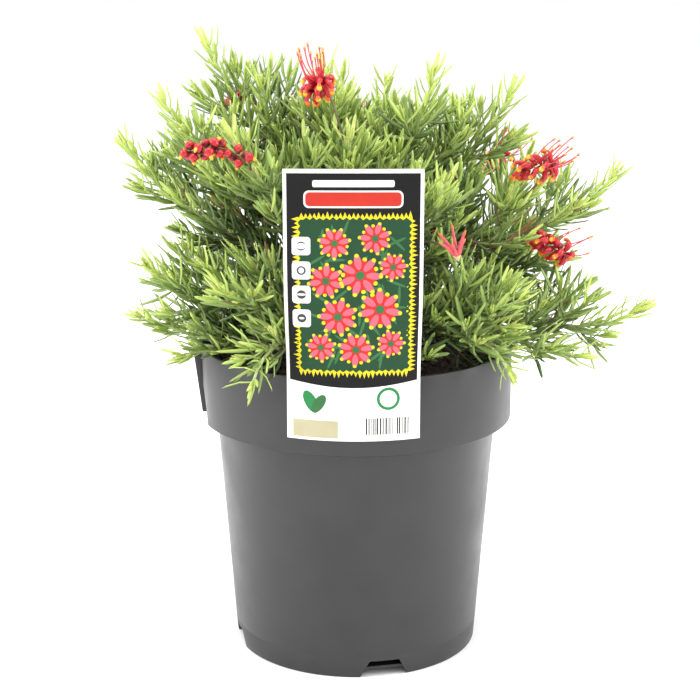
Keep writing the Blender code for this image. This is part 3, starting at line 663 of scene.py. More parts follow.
ROSETTES = (
    (-19.0, 57.5, 9.0),
    (1.5, 56.5, 10.5),
    (22.0, 60.0, 8.5),
    (-9.0, 76.5, 11.5),
    (15.5, 81.0, 12.5),
    (-16.0, 98.0, 10.5),
    (4.0, 101.5, 12.5),
    (23.0, 106.5, 8.5),
    (-11.0, 120.5, 9.5),
    (12.5, 123.5, 9.5),
)
PETALS = 14
for x, y, reach in ROSETTES:
    for petal in range(PETALS):
        turn = 2 * math.pi * petal / PETALS + x
        inner_petal = petal % 2 == 0
        away = reach * (0.50 if inner_petal else 0.66)
        px, py = x + away * math.cos(turn), y + away * math.sin(turn)
        tone, layer = ("scarlet", 5) if inner_petal else ("pink", 6)
        ink(oval(px, py, reach * 0.80, reach * 0.34, turn, 10), tone, layer)
        away += reach * 0.3
        px, py = x + away * math.cos(turn), y + away * math.sin(turn)
        ink(oval(px, py, reach * 0.20, reach * 0.22, turn, 8), "yellow", 7)
    ink(oval(x, y, reach * 0.42, reach * 0.42, 0.0, 12), "leaf", 8)
for count in range(4):
    low = 113.6 - count * 14.6
    ink(block(-35.6, low, -24.8, low + 10.8, 1.8), "white", 9)
    ink(oval(-30.2, low + 5.4, 5.4, 5.4), "grey", 10)
    ink(oval(-30.2, low + 5.4, 3.2 if count % 2 else 5.4, 3.6 if count < 2 else 1.4), "white", 11)
ink(oval(-25.4, 23.6, 7.5, 15.0, 0.5), "fern", 2)
ink(oval(-20.6, 22.6, 6.5, 13.0, -0.6), "leaf", 3)
ink(block(-36.6, 1.6, -9.0, 12.4), "cream", 2)
ink(oval(20.8, 26.0, 14.0, 14.0), "fern", 2)
ink(oval(20.8, 26.0, 10.4, 10.4), "white", 3)
BAR_LOW, BAR_HIGH, BAR_LEFT, BAR_RIGHT = 4.0, 14.2, 7.4, 33.4
bar_rng = random.Random(17)
bar = BAR_LEFT
while bar < BAR_RIGHT:
    width = bar_rng.choice((0.30, 0.30, 0.55, 0.80))
    ink(block(bar, BAR_LOW, bar + width, BAR_HIGH), "charcoal", 2)
    bar += width + bar_rng.choice((0.55, 0.85, 1.15))
printed = linked("label_print", print_bm, ink_materials, smooth=False)
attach(printed, "root")


# The wood: a short flared trunk on the potting mix and the limbs that leave it in four
# tiers. Rough grey-brown bark covers both, and each limb runs on into its leafy stem.
TRUNK_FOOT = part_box("trunk")[0].z
TRUNK_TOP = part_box("trunk")[1].z
TRUNK_RADIUS = 0.0085
TRUNK_TOP_RADIUS = 0.0068
TRUNK_FLARE = 0.0045
FLARE_HEIGHT = 0.010
TRUNK_LEAN = 0.002
TRUNK_SIDES = 28
TRUNK_RINGS = 40
CROWN_BASE = np.array([0.0, 0.0, POT_HEIGHT])
TIER_HEIGHTS = (0.1945, 0.2065, 0.2185, 0.2310)
TIERS = (
    (
        ("right_low", 0, 5, 0.196, 22),
        ("back_low", 95, 3, 0.160, 6),
        ("left_low", 176, 4, 0.154, 18),
        ("left_rim", 202, 0, 0.133, -12),
        ("front_left_rim", 242, 3, 0.146, -52),
        ("front_right_rim", 316, 3, 0.143, -52),
        ("right_rim", 344, 0, 0.160, -8),
    ),
    (
        ("back_right_low", 42, 13, 0.176, 15),
        ("back_middle", 88, 28, 0.178, 10),
        ("back_left_low", 137, 14, 0.170, 18),
        ("left_lower", 190, 21, 0.156, 20),
        ("front_left_low", 229, 23, 0.148, 5),
        ("front_right_low", 318, 19, 0.153, 8),
    ),
    (
        ("right_middle", 7, 31, 0.208, 12),
        ("back_right_high", 58, 47, 0.186, 8),
        ("back_left_high", 120, 48, 0.184, 8),
        ("left_middle", 172, 39, 0.205, 10),
        ("left_upper", 190, 52, 0.208, 6),
        ("front_left_high", 226, 53, 0.192, 6),
        ("front_right_high", 300, 48, 0.170, 6),
        ("right_upper", 346, 42, 0.172, 8),
    ),
    (
        ("right_high", 6, 58, 0.199, 6),
        ("top_back", 70, 70, 0.182, 4),
        ("left_high", 170, 63, 0.222, 4),
        ("crest_left", 226, 81, 0.190, 0),
        ("front_middle", 266, 66, 0.168, 4),
        ("crest_right", 350, 74, 0.191, 2),
    ),
)
CENTRAL = ("crest_middle", 120, 84, 0.180, 0)
LIMB_RADIUS = 0.0020
LIMB_TIP_RADIUS = 0.0008
LIMB_RISE_DEG = 12
LEAST_RISE_DEG, MOST_RISE_DEG = 34, 84
RISE_SHARE, ARRIVE_SHARE = 0.36, 0.30
BOUGH_SHARE = 0.36
TIP_LEAF = 0.020
LIMB_SIDES = 12


def polar(azimuth, elevation, length=1.0):
    """A vector by azimuth from +X and elevation from the horizontal, both in degrees."""
    azimuth, elevation = math.radians(azimuth), math.radians(elevation)
    flat = math.cos(elevation)
    return length * np.array([flat * math.cos(azimuth), flat * math.sin(azimuth), math.sin(elevation)])


def unit(vectors):
    return vectors / np.maximum(np.linalg.norm(vectors, axis=-1, keepdims=True), 1e-12)


def trunk_radius(height):
    share = (height - TRUNK_FOOT) / (TRUNK_TOP - TRUNK_FOOT)
    flare = np.maximum(0.0, 1 - (height - TRUNK_FOOT) / FLARE_HEIGHT)
    return TRUNK_RADIUS + (TRUNK_TOP_RADIUS - TRUNK_RADIUS) * share + TRUNK_FLARE * flare**2


def trunk_centre(height):
    share = (height - TRUNK_FOOT) / (TRUNK_TOP - TRUNK_FOOT)
    return np.array([-TRUNK_LEAN * share, TRUNK_LEAN * share / 2, height])


class Limb:
    """One limb of the shrub: the curve of its bough and of the stem that carries its leaves."""

    def __init__(self, row, start, rise_azimuth, rise_elevation):
        self.name, azimuth, elevation, self.reach, tip_turn = row
        tip = CROWN_BASE + polar(azimuth, elevation, self.reach - TIP_LEAF)
        self.length = np.linalg.norm(tip - start)
        rise = polar(rise_azimuth, rise_elevation) * self.length * RISE_SHARE
        arrive = polar(azimuth, elevation + tip_turn) * self.length * ARRIVE_SHARE
        self.corners = (start, start + rise, tip - arrive, tip)
        self.direction = polar(azimuth, elevation)
        self.azimuth = azimuth

    def at(self, share):
        share = np.asarray(share, float)[..., None]
        one, two, three, four = self.corners
        rest = 1 - share
        return one * rest**3 + two * 3 * rest**2 * share + three * 3 * rest * share**2 + four * share**3

    def heading(self, share):
        return unit(self.at(share + 0.01) - self.at(share - 0.01))


def limb_radius(share):
    return LIMB_RADIUS + (LIMB_TIP_RADIUS - LIMB_RADIUS) * share


limbs = []
for height, rows in zip(TIER_HEIGHTS, TIERS):
    step = 360 / len(rows)
    first = sum(row[1] - count * step for count, row in enumerate(rows)) / len(rows)
    for count, row in enumerate(rows):
        rise = min(MOST_RISE_DEG, max(LEAST_RISE_DEG, row[2] + LIMB_RISE_DEG))
        out = trunk_radius(height) + GAP + LIMB_RADIUS * math.sin(math.radians(rise))
        start = trunk_centre(height) + polar(first + count * step, 0, out)
        limbs.append(Limb(row, start, first + count * step, rise))
limbs.append(Limb(CENTRAL, trunk_centre(TRUNK_TOP) + np.array([0, 0, GAP]), 0, 90))


def stems(name, paths, radii, sides, tones, materials, relief=0.0):
    """Round stems, joined: paths are copies x rings x 3, and relief ridges them like bark."""
    copies, rings = paths.shape[:2]
    ahead = unit(np.gradient(paths, axis=1))
    chord = unit(paths[:, -1] - paths[:, 0])
    spare = np.where(np.abs(chord[:, 2:]) < 0.9, [[0.0, 0.0, 1.0]], [[1.0, 0.0, 0.0]])
    side = np.cross(chord, spare)[:, None]
    side = unit(side - ahead * (side * ahead).sum(axis=-1, keepdims=True))
    other = np.cross(ahead, side)
    turn = np.arange(sides) * 2 * math.pi / sides
    along = np.linspace(0, 1, rings)[None, :, None]
    phase = np.arange(copies)[:, None, None] * 2.4
    ridges = np.sin(5 * turn + 9 * along + phase) + 0.6 * np.sin(11 * turn - 23 * along + phase)
    ridges += 0.5 * np.sin(7 * turn + 61 * along) * np.sin(37 * along + phase)
    width = radii[:, :, None] * (1 + relief * ridges)
    ring = paths[:, :, None] + width[..., None] * (
        side[:, :, None] * np.cos(turn)[:, None] + other[:, :, None] * np.sin(turn)[:, None]
    )
    points = np.concatenate([ring.reshape(copies, -1, 3), paths[:, :1], paths[:, -1:]], axis=1)
    faces = []
    for ring_count in range(rings - 1):
        for count in range(sides):
            a, b = ring_count * sides + count, ring_count * sides + (count + 1) % sides
            faces += [(a, b, b + sides), (a, b + sides, a + sides)]
    last = (rings - 1) * sides
    for count in range(sides):
        following = (count + 1) % sides
        faces.append((rings * sides, following, count))
        faces.append((rings * sides + 1, last + count, last + following))
    tones = np.asarray(tones)
    if tones.ndim == 2:
        banded = np.repeat(tones[:, :-1], 2 * sides, axis=1)
        ends = np.repeat(tones[:, [0, -1]], sides, axis=1)
        ends = np.stack([ends[:, :sides], ends[:, sides:]], axis=2).reshape(copies, -1)
        tones = np.concatenate([banded, ends], axis=1)
    return mesh_piece(name, points, np.array(faces), tones, materials)


bark_tones = (0.085, 0.055, 0.036), (0.230, 0.170, 0.120)
grain = {"bump": 0.0006, "stretch": 0.25, "detail": 6.0}
bark = dressed("grey_brown_bark", *bark_tones, 260.0, (0.75, 0.95), **grain)
heights = TRUNK_FOOT + np.linspace(0, 1, TRUNK_RINGS) ** 1.3 * (TRUNK_TOP - TRUNK_FOOT)
trunk_path = np.array([trunk_centre(height) for height in heights])[None]
trunk = stems("trunk_bark", trunk_path, trunk_radius(heights)[None], TRUNK_SIDES, [0], [bark], 0.055)
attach(trunk, "root")
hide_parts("trunk")

bough_limbs = limbs[:-1]
shares = np.linspace(0, BOUGH_SHARE + 0.02, 16)
bough_paths = np.array([limb.at(shares) for limb in bough_limbs])
bough_paths[:, 0] += (bough_paths[:, 0] - bough_paths[:, 1]) * 0.5
bough_radii = np.tile(limb_radius(shares), (len(bough_limbs), 1))
bough_radii[:, :3] *= (1.35, 1.2, 1.08)
boughs = stems(
    "boughs_bark", bough_paths, bough_radii, LIMB_SIDES, [0] * len(bough_limbs), [bark], 0.05
)
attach(boughs, "root")
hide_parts(*[f"bough_{limb.name}" for limb in bough_limbs])


# The blossom: clusters of curled, glossy tubes round a short stalk's end, red with yellow
# mouths. Long pink styles with small knobs stand out of the open ones. Some are round buds
# still, and one is nearly spent and spread like a fan.
FLOWERS = (
    ("open", 251, 68, 0.183, (0.006, -0.002, 0.006), (-0.10, -0.20, 1.0), (0.0, -0.7, 0.7)),
    ("bud", 222, 48, 0.180, (0.018, -0.002, 0.003), (-0.20, -0.60, 0.6), (-0.3, -1.0, 0.3)),
    ("few_buds", 229, 51, 0.167, (0.009, -0.001, -0.003), (0.10, -0.70, 0.5), (0.0, -1.0, 0.4)),
    ("open", 339, 45, 0.167, (0.017, -0.003, 0.004), (0.80, -0.30, 0.75), (0.2, -1.0, 0.4)),
    ("half", 342, 28, 0.144, (0.017, -0.003, -0.009), (0.80, -0.30, 0.45), (0.3, -1.0, 0.2)),
    ("spent", 301, 35, 0.136, (0.003, 0.0, 0.0), (-0.25, -0.35, 1.0), (0.0, -1.0, 0.3)),
    ("open", 40, 40, 0.164, (0.010, 0.010, 0.004), (0.50, 0.50, 0.8), (0.6, 0.5, 0.6)),
    ("open", 86, 44, 0.169, (0.016, 0.0, 0.004), (0.0, 0.70, 0.8), (0.0, 0.8, 0.6)),
    ("half", 128, 27, 0.162, (-0.012, -0.010, 0.004), (-0.5, 0.70, 0.4), (-0.6, 0.7, 0.3)),
    ("bud", 150, 60, 0.174, (0.012, 0.012, 0.002), (-0.5, 0.30, 0.9), (-0.5, 0.4, 0.8)),
    ("open", 66, 16, 0.164, (-0.013, 0.006, 0.004), (0.40, 0.90, 0.5), (0.4, 0.9, 0.2)),
)
TUBE_STATIONS = 10
# Each kind's tubes, styles, tube length and radius, the room its head keeps clear of
# leaves, and its tube's curl, belly, mouth and the mouth's place.
KINDS = {
    "open": (18, 15, 0.0145, 0.0021, 0.0135, (3.1, 0.55, 0.60, 0.86)),
    "half": (19, 5, 0.0135, 0.0022, 0.0125, (3.3, 0.70, 0.45, 0.86)),
    "bud": (13, 0, 0.0092, 0.0021, 0.0115, (2.3, 1.25, 0.20, 0.85)),
    "few_buds": (6, 0, 0.0092, 0.0021, 0.0080, (2.3, 1.25, 0.20, 0.85)),
    "spent": (6, 0, 0.0220, 0.0023, 0.0100, (0.4, 0.12, 0.16, 0.93)),
}
STYLE_LENGTH = 0.0185
STYLE_RADIUS = 0.00036
STYLE_SHARES = (0.0, 0.17, 0.34, 0.5, 0.65, 0.79, 0.90, 0.945, 0.975, 1.0)
ROOM_LENGTH = 0.034
GOLDEN_DEG = 137.508
FINE_GRAIN = 300.0
PATH_POINTS = 9


def rolled(ahead, degrees):
    """A unit vector square to ahead, turned round it."""
    spare = np.array([0.0, 0.0, 1.0]) if abs(ahead[2]) < 0.95 else np.array([1.0, 0.0, 0.0])
    side = unit(np.cross(ahead, spare))
    angle = math.radians(degrees)
    return side * math.cos(angle) + np.cross(ahead, side) * math.sin(angle)


def tube_form(curl, belly, mouth, mouth_at):
    """A curled tube about 1 long in its own frame: its centre line and the radii along it."""
    angle, at, points, radii = 0.0, np.zeros(3), [], []
    for station in range(TUBE_STATIONS):
        share = station / (TUBE_STATIONS - 1)
        points.append(at.copy())
        swell = 0.55 + belly * math.sin(math.pi * min(1.0, share * 1.35)) ** 2
        lip = mouth * math.exp(-(((share - mouth_at) / 0.12) ** 2))
        radii.append((swell * (1 - 0.45 * share) + lip) * math.sqrt(max(0.05, 1 - share**9)))
        angle += curl / TUBE_STATIONS * (0.3 + 1.4 * share)
        at += np.array([math.cos(angle), 0.0, -math.sin(angle)]) / TUBE_STATIONS
    return np.array(points), np.array(radii)


def stalk_cost(place, centre):
    """How ill a stalk would leave a limb here for a flower: far off, or from above it."""
    return np.linalg.norm(place - centre) + 2 * max(0, place[2] - centre[2])


def aimed(path, at, ahead, up, size):
    """A path in its own frame, set at a place: X along ahead, Z along up."""
    across = np.cross(up, ahead)
    return at + (path[:, :1] * ahead + path[:, 1:2] * across + path[:, 2:] * up) * size


RED, YELLOW, ORANGE, PINK, PALE, DARK = range(6)
bloom_rng = np.random.default_rng(12)
tube_paths, tube_radii, tube_tones = [], [], []
style_paths, style_radii = [], []
stalk_paths = []
rooms = []
for kind, azimuth, elevation, distance, axis, lean, facing in FLOWERS:
    centre = CROWN_BASE + polar(azimuth, elevation, distance)
    axis, lean = np.array(axis), unit(np.array(lean))
    tubes, styles, tube_length, tube_radius, room, numbers = KINDS[kind]
    form, rings = tube_form(*numbers)
    rooms.append((centre, unit(np.array(facing)), room))
    found = min(
        (stalk_cost(limb.at(share), centre), share, number)
        for number, limb in enumerate(limbs)
        for share in np.linspace(0.40, 0.95, 24)
    )
    foot = limbs[found[2]].at(max(0.38, found[1] - 0.08))
    bow = np.linspace(0, 1, PATH_POINTS)[:, None]
    stalk_paths.append(foot + (centre + axis / 2 - foot) * bow + lean * 0.004 * np.sin(math.pi * bow))
    for count in range(tubes):
        share = (count + 0.5) / tubes
        around = rolled(unit(axis), count * GOLDEN_DEG)
        way = unit(around + unit(axis) * (1.6 * share - 0.8) + np.array([0.0, 0.0, 0.12]))
        start = centre + axis * (share - 0.5) + way * 0.0012
        up = lean
        if kind == "spent":
            around = rolled(lean, count * 360 / tubes)
            way = unit(lean + around * 0.40)
            start = centre - lean * 0.007
            up = -around
        up = up - way * (up @ way)
        up = unit(up + np.cross(way, unit(axis)) * 0.05)
        across = np.cross(up, way)
        up = np.cross(way, unit(across))
        size = tube_length * bloom_rng.uniform(0.86, 1.08)
        tube_paths.append(aimed(form, start, way, up, size))
        tube_radii.append(rings * tube_radius * bloom_rng.uniform(0.88, 1.08))
        colour = np.full(TUBE_STATIONS, PINK if kind == "spent" else RED)
        if kind == "spent":
            colour[:2] = PALE
            colour[-2:] = ORANGE
        elif kind in ("bud", "few_buds"):
            colour[-4:] = YELLOW
            colour[:2] = DARK
        else:
            colour[-3:] = YELLOW if count % 3 else ORANGE
            colour[-4] = ORANGE
            colour[:2] = DARK if count % 4 == 0 else RED
        tube_tones.append(colour)
    for count in range(styles):
        share = (count + 0.5) / styles
        tilt = math.radians(16 + 50 * ((count * 0.618) % 1.0))
        around = rolled(lean, count * GOLDEN_DEG)
        way = unit(lean * math.cos(tilt) + around * math.sin(tilt))
        bow = np.array(STYLE_SHARES)[:, None]
        length = STYLE_LENGTH * bloom_rng.uniform(0.72, 1.10)
        inward = (lean - way * (lean @ way)) * 0.75
        start = centre + axis * (share - 0.5) * 0.8 + way * 0.003
        style_paths.append(start + way * length * bow + inward * length * bow**2)
        knob = np.full(TUBE_STATIONS, STYLE_RADIUS)
        knob[-3:] = (STYLE_RADIUS * 2.0, STYLE_RADIUS * 2.6, STYLE_RADIUS * 1.3)
        style_radii.append(knob)

tube_materials = [
    dressed(f"tube_{name}", tone, other, FINE_GRAIN, rough)
    for name, tone, other, rough in (
        ("red", (0.50, 0.008, 0.016), (0.36, 0.006, 0.014), (0.24, 0.34)),
        ("yellow", (0.86, 0.50, 0.030), (0.80, 0.36, 0.025), (0.26, 0.38)),
        ("orange", (0.74, 0.16, 0.016), (0.66, 0.10, 0.016), (0.26, 0.38)),
        ("pink", (0.66, 0.110, 0.130), (0.58, 0.070, 0.090), (0.32, 0.45)),
        ("pale", (0.66, 0.52, 0.300), (0.60, 0.44, 0.240), (0.35, 0.50)),
        ("dark", (0.16, 0.005, 0.010), (0.11, 0.004, 0.008), (0.30, 0.42)),
    )
]
style_materials = [
    dressed("style_pink", (0.60, 0.040, 0.075), (0.50, 0.025, 0.050), FINE_GRAIN, (0.32, 0.45)),
    dressed("style_knob", (0.66, 0.330, 0.090), (0.58, 0.250, 0.060), FINE_GRAIN, (0.40, 0.55)),
]
green_tones = (0.120, 0.100, 0.040), (0.150, 0.120, 0.050)
stalk_green = dressed("stalk_green", *green_tones, FINE_GRAIN, (0.5, 0.7))
style_tones = np.zeros((len(style_paths), TUBE_STATIONS))
style_tones[:, -3:] = 1
tube_rows = np.array(tube_paths), np.array(tube_radii), 9, np.array(tube_tones)
tubes = stems("blossom_tubes", *tube_rows, tube_materials)
style_rows = np.array(style_paths), np.array(style_radii), 6, style_tones
styles = stems("blossom_styles", *style_rows, style_materials)
stalk_radii = np.tile(np.linspace(0.0009, 0.0007, PATH_POINTS), (len(stalk_paths), 1))
stalk_rows = np.array(stalk_paths), stalk_radii, 6, [0] * len(stalk_paths)
stalks = stems("blossom_stalks", *stalk_rows, [stalk_green])
for piece in (tubes, styles, stalks):
    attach(piece, "root")


# The shoots: each limb's stem carries side twigs set round it by the golden angle, and
# those carry finer ones. Wood is brown where it is old and turns pale green to the tips.
TWIGS = 7
TWIG_FROM, TWIG_TO = 0.22, 0.76
TWIG_REACH = 0.50
TWIG_SPREAD_DEG = 40
TWIG_LIFT = 0.30
TWIG_VARIES = (0.62, 1.20)
TWIG_SHRINKS = 0.45
TWIG_SHORTENINGS = (1.0, 0.85, 0.7, 0.55, 0.4)
FINE_FROM = 0.40
FINE_REACH = 0.55
FINE_SPREAD_DEG = 40
TWIG_RADII = (0.00100, 0.00055)
FINE_RADII = (0.0007, 0.0005)
TEST_BEYOND = 0.008
STEM_RUNS_TO = 1.06
SIDE_FALL = 1.5
SIDE_SHARE = 0.85
SIDE_ALLOWANCE = 0.006
BOX_ALLOWANCE = 0.010
CLEAR = 0.0016
LABEL_CLEAR = 0.0035

box_low = np.array(cad_low) - BOX_ALLOWANCE
box_high = np.array(cad_high) + BOX_ALLOWANCE


def clear(points):
    """True for each point that keeps off the pot's wall, the mix, the label and the blossom."""
    radius = np.hypot(points[..., 0], points[..., 1])
    x, y, z = points[..., 0], points[..., 1], points[..., 2]
    over = z > POT_HEIGHT + CLEAR
    tagged = np.where(x < -FLAT_AT_FOOT, TAG_PROUD, 0.0)
    outside = radius > RIM_RADIUS + tagged + CLEAR
    within = (radius < RIM_RADIUS - WALL - CLEAR) & (z > MIX_LEVEL + CLEAR)
    beside = np.abs(x - LABEL_CENTRE) < LABEL_WIDTH / 2 + LABEL_CLEAR
    on_label = (y < -RIM_RADIUS + LABEL_CLEAR) & beside & (z < LABEL_TOP + LABEL_CLEAR)
    fits = (over | outside | within) & ~on_label
    fits &= ((points > box_low) & (points < box_high)).all(axis=-1)
    for centre, facing, room in rooms:
        away = points - centre
        along = np.clip(away @ facing, 0, ROOM_LENGTH)
        fits &= np.linalg.norm(away - along[..., None] * facing, axis=-1) > room
    return fits


def within_reach(limb, points, share=1.0):
    """Full reach along the limb's own direction, falling off to its sides."""
    spokes = points - CROWN_BASE
    lengths = np.linalg.norm(spokes, axis=-1)
    cosines = spokes @ limb.direction / np.maximum(lengths, 1e-9)
    return lengths < limb.reach * share * (1 - SIDE_FALL * (1 - cosines)) + SIDE_ALLOWANCE


def twig_path(limb, start, way, length):
    """A twig that curves upward, shortened until it fits, or None."""
    shares = np.linspace(0, 1, PATH_POINTS)[:, None]
    for shorter in TWIG_SHORTENINGS:
        reach = length * shorter
        path = start + way * reach * shares + np.array([0, 0, TWIG_LIFT * reach]) * shares**2
        beyond = path[-1:] + unit(path[-1:] - path[-2:-1]) * TEST_BEYOND
        tests = np.concatenate([path[2:], beyond])
        if clear(tests).all() and within_reach(limb, tests[-2:], SIDE_SHARE).all():
            return path
    return None


# Each shoot: its limb, its path, its radius at the foot and the tip, the share of it that
# is bare of leaves, and its vigour, which makes its leaves paler.
shoots = []
for limb in limbs:
    rng = random.Random(limb.name)
    phase = rng.uniform(0, 360)
    first = 0.0 if limb is limbs[-1] else BOUGH_SHARE
    own = limb.at(np.linspace(first, STEM_RUNS_TO, PATH_POINTS))
    shoots.append((limb, own, limb_radius(first), LIMB_TIP_RADIUS, 0.12, 0.5 + rng.random() / 2))
    for count in range(TWIGS):
        share = TWIG_FROM + (TWIG_TO - TWIG_FROM) * count / (TWIGS - 1)
        ahead = limb.heading(share)
        spread = math.radians(TWIG_SPREAD_DEG + rng.uniform(-7, 9))
        way = ahead * math.cos(spread) + rolled(ahead, phase + count * GOLDEN_DEG) * math.sin(spread)
        length = limb.length * TWIG_REACH * rng.uniform(*TWIG_VARIES)
        length *= 1 - TWIG_SHRINKS * count / (TWIGS - 1)
        path = twig_path(limb, limb.at(share), way, length)
        if path is None:
            continue
        shoots.append((limb, path, *TWIG_RADII, 0.14, rng.random()))
        root = path[int(FINE_FROM * (PATH_POINTS - 1))]
        ahead = unit(path[-1] - path[0])
        spread = math.radians(FINE_SPREAD_DEG)
        turn = rng.uniform(-40, 40) + count * 70
        way = ahead * math.cos(spread) + rolled(ahead, turn) * math.sin(spread)
        finer = twig_path(limb, root, way, length * FINE_REACH * rng.uniform(0.8, 1.15))
        if finer is not None:
            shoots.append((limb, finer, *FINE_RADII, 0.08, rng.random()))

shoot_paths = np.array([shoot[1] for shoot in shoots])
taper = np.linspace(0, 1, PATH_POINTS)
shoot_radii = np.array([thick + (thin - thick) * taper for _, _, thick, thin, _, _ in shoots])
out_share = [np.linalg.norm(path - CROWN_BASE, axis=1) / limb.reach for limb, path, *_ in shoots]
out_share = np.array(out_share)
stem_tones = np.clip(np.floor((out_share - 0.30) / 0.15), 0, 3)
stem_materials = [
    dressed("stem_brown", (0.130, 0.085, 0.052), (0.230, 0.165, 0.105), 300.0, (0.7, 0.9), 0.0002),
    dressed("stem_olive", (0.190, 0.175, 0.075), (0.260, 0.215, 0.105), 300.0, (0.6, 0.8)),
    dressed("stem_green", (0.300, 0.360, 0.120), (0.360, 0.400, 0.150), 300.0, (0.5, 0.7)),
    dressed("stem_pale", (0.470, 0.560, 0.220), (0.520, 0.600, 0.260), 300.0, (0.5, 0.7)),
]
twigs = stems("twigs", shoot_paths, shoot_radii, 6, stem_tones, stem_materials)
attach(twigs, "root")


# The leaves: narrow blunt blades, a little folded along the midrib, set round each shoot by
# the golden angle. They lean to its tip, curl in and turn up to the light, and each shoot
# ends in a tuft of short pale ones. The greens run from deep inside to yellow at the tips.
# The paler young growth at the tips is the leaves' own colour. The dark green deep inside
# the crown is painted shade, and the lighter tone of leaves that point upward is painted light.
LEAF_LENGTH = 0.0228
LEAF_WIDTH = 0.0028
LEAF_DEPTH = 0.00045
LEAF_SPACING = 0.0020
LEAF_STATIONS = ((0.0, 0.0), (0.10, 0.55), (0.46, 1.0), (0.88, 0.66), (1.0, 0.0))
LEAF_SPREAD_DEG = (80, 62)
LEAF_LIFT = 0.36
LEAF_BEND = 0.38
LEAF_TESTS = (0.0, 0.3, 0.55, 0.8, 1.0)
TUFT_LEAVES = 6
TUFT_LENGTH = (0.006, 0.011)
# Greens from darkest to palest, then a dry brown. A leaf's green mixes its own young paleness with
# painted shade deep in the crown and painted light on upturned outer leaves.
LEAF_TONES = (
    ("leaf_deep", (0.045, 0.075, 0.025)),
    ("leaf_shade", (0.120, 0.185, 0.055)),
    ("leaf_middle", (0.255, 0.365, 0.095)),
    ("leaf_bright", (0.400, 0.530, 0.125)),
    ("leaf_fresh", (0.510, 0.640, 0.145)),
    ("leaf_young", (0.600, 0.690, 0.190)),
    ("leaf_dry", (0.260, 0.150, 0.060)),
)
TONE_LIMITS = (0.22, 0.36, 0.52, 0.70, 0.86)
DRY = 6
DRY_SHARE = 0.012


def blade_form(stations):
    """Points and triangles of a blade of length 1 and width 1, with a ridge under its midrib."""
    bm = bmesh.new()
    order = bm.verts.layers.int.new("order")
    bmesh.ops.create_circle(bm, cap_ends=True, segments=4, radius=0.5)
    cap = next(iter(bm.faces))
    ring = [vert.co.copy() for vert in cap.verts]
    for count, vert in enumerate(cap.verts):
        vert[order] = count
    for count, (along, width) in enumerate(stations):
        if count:
            swept = bmesh.ops.extrude_face_region(bm, geom=[cap])["geom"]
            if count > 1:
                bmesh.ops.delete(bm, geom=[cap], context="FACES_ONLY")
            cap = next(item for item in swept if isinstance(item, bmesh.types.BMFace))
        for vert in cap.verts:
            at = ring[vert[order]]
            sunk = -0.5 if abs(at.x) < 0.1 else 0.5
            vert.co = Vector((along, at.x * width, (at.y + sunk) * min(1.0, width * 2)))
    bmesh.ops.remove_doubles(bm, verts=bm.verts, dist=0.0001)
    bmesh.ops.triangulate(bm, faces=bm.faces)
    bmesh.ops.recalc_face_normals(bm, faces=bm.faces)
    bm.verts.index_update()
    points = np.array([vert.co for vert in bm.verts])
    faces = np.array([[vert.index for vert in face.verts] for face in bm.faces])
    bm.free()
    return points, faces


def placed(form, at, ahead, up, sizes, bends):
    """Copies of a form: each has its root, its two directions, its sizes and its bend."""
    across = np.cross(up, ahead)
    along, side, deep = (form[None, :, axis, None] for axis in range(3))
    long, wide, thick = (sizes[:, axis, None, None] for axis in range(3))
    lifted = deep * thick + bends[:, None, None] * long * along**2
    flat = at[:, None] + ahead[:, None] * along * long + across[:, None] * side * wide
    return flat + up[:, None] * lifted


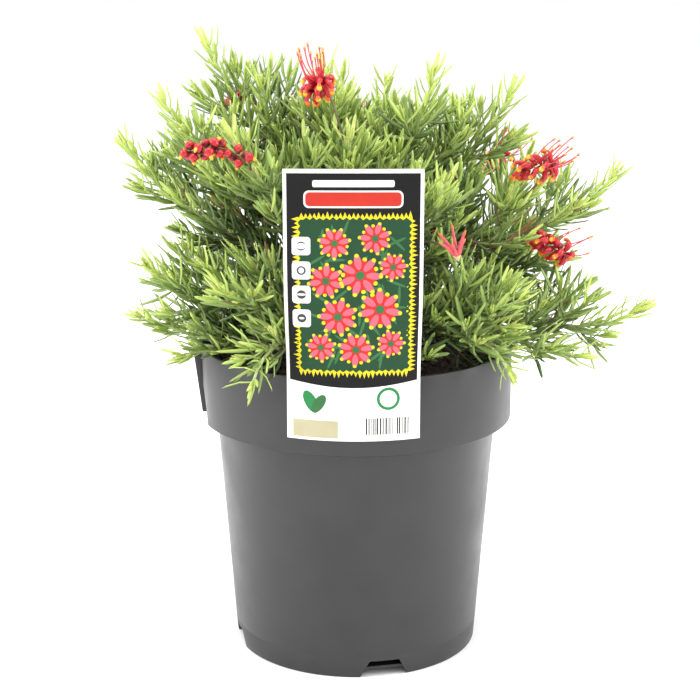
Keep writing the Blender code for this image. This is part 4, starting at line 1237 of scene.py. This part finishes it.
leaf_rng = np.random.default_rng(4)
leaf_rows = []
for limb, path, _, _, bare, vigour in shoots:
    lengths = np.linalg.norm(np.diff(path, axis=0), axis=1)
    total = lengths.sum()
    ends = np.concatenate([[0.0], np.cumsum(lengths)]) / total
    count = max(5, int(total * (1 - bare) / LEAF_SPACING))
    along = bare + (1 - bare) * (np.arange(count) + leaf_rng.uniform(0, 0.7, count)) / count
    tuft = 1 - 0.06 * leaf_rng.random(TUFT_LEAVES)
    share = np.concatenate([np.clip(along, 0, 0.985), tuft])
    number = len(share)
    is_tuft = np.arange(number) >= count
    at = np.stack([np.interp(share, ends, path[:, axis]) for axis in range(3)], axis=1)
    heading = unit(np.gradient(path, axis=0))
    ahead = unit(np.stack([np.interp(share, ends, heading[:, axis]) for axis in range(3)], axis=1))
    spare = np.where(np.abs(ahead[:, 2:]) < 0.95, [[0.0, 0.0, 1.0]], [[1.0, 0.0, 0.0]])
    side = unit(np.cross(ahead, spare))
    turn = np.radians(np.arange(number) * GOLDEN_DEG + vigour * 360)[:, None]
    out = side * np.cos(turn) + np.cross(ahead, side) * np.sin(turn)
    spread = LEAF_SPREAD_DEG[0] + (LEAF_SPREAD_DEG[1] - LEAF_SPREAD_DEG[0]) * share
    spread = np.where(is_tuft, leaf_rng.uniform(6, 28, number), spread)
    spread = np.radians(spread + leaf_rng.normal(0, 6, number))[:, None]
    under = np.clip(-out[:, 2:], 0, 1) * np.sqrt(np.maximum(0, 1 - ahead[:, 2:] ** 2))
    spread = spread * (1 - 0.45 * under)
    way = ahead * np.cos(spread) + out * np.sin(spread)
    level = np.sqrt(np.maximum(0, 1 - way[:, 2:] ** 2))
    lift = LEAF_LIFT * leaf_rng.uniform(0.5, 1.3, (number, 1)) * level
    way = unit(way + np.array([[0.0, 0.0, 1.0]]) * lift)
    up = unit(ahead - way * (ahead * way).sum(axis=1, keepdims=True) + 1e-6)
    length = LEAF_LENGTH * leaf_rng.uniform(0.80, 1.15, number)
    length *= 1 - 0.35 * np.clip((share - 0.6) / 0.4, 0, 1)
    length *= 0.75 + 0.25 * np.clip((share - bare) / 0.15, 0, 1)
    length = np.where(is_tuft, leaf_rng.uniform(*TUFT_LENGTH, number), length)
    width = LEAF_WIDTH * leaf_rng.uniform(0.85, 1.15, number) * np.where(is_tuft, 0.75, 1.0)
    bend = leaf_rng.normal(LEAF_BEND, 0.09, number) * np.where(is_tuft, 0.4, 1.0)
    fits = np.ones(number, bool)
    for along in LEAF_TESTS:
        spot = at + (way * along + up * bend[:, None] * along**2) * length[:, None]
        fits &= clear(spot)
    fits &= within_reach(limb, spot)
    outer = np.linalg.norm(at - CROWN_BASE, axis=1) / limb.reach
    # The tone mixes the leaves' own colour with painted light. Their own part: paler to the shoot tips,
    # on vigorous shoots and in the tip tufts, with a random spread. Painted shade darkens leaves near
    # the crown's centre (outer is small there). Painted light makes leaves lighter as they point up and
    # darker as they point down.
    light = 0.50 * outer**2 + 0.26 * share**3 + 0.16 * vigour + leaf_rng.normal(0.03, 0.06, number)
    light += 0.10 * way[:, 2] + np.where(is_tuft, 0.16, 0.0)
    tone = np.digitize(light, TONE_LIMITS)
    tone = np.where((leaf_rng.random(number) < DRY_SHARE) & (outer < 0.75), DRY, tone)
    sizes = np.stack([length, width, np.full(number, LEAF_DEPTH)], axis=1)
    azimuths = np.full(number, limb.azimuth % 360)
    leaf_rows.append([values[fits] for values in (azimuths, tone, at, way, up, sizes, bend)])

leaf_form, leaf_faces = blade_form(LEAF_STATIONS)
leaf_azimuths, leaf_tones, *leaf_placing = (np.concatenate(rows) for rows in zip(*leaf_rows))
leaf_points = placed(leaf_form, *leaf_placing)
leaf_materials = [
    dressed(name, tone, [value * 0.88 for value in tone], 120.0, (0.42, 0.54), specular=0.4)
    for name, tone in LEAF_TONES
]
SECTORS = (
    ("right", -30, 30),
    ("back_right", 30, 90),
    ("back_left", 90, 150),
    ("left", 150, 200),
    ("front_left", 200, 270),
    ("front_right", 270, 330),
)
for name, start, end in SECTORS:
    mine = (leaf_azimuths - start) % 360 < end - start
    dealt = leaf_points[mine], leaf_faces, leaf_tones[mine], leaf_materials
    leaves = mesh_piece(f"leaves_{name}", *dealt)
    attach(leaves, "root")
    members = [limb for limb in limbs if (limb.azimuth - start) % 360 < end - start]
    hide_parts(*[f"foliage_{limb.name}" for limb in members])


# The two boxes, of the solids and of the looks, are gathered side by side.
now_low, now_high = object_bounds()
sizes = {
    "cad": [list(cad_low), list(cad_high)],
    "visual": [list(now_low), list(now_high)],
}
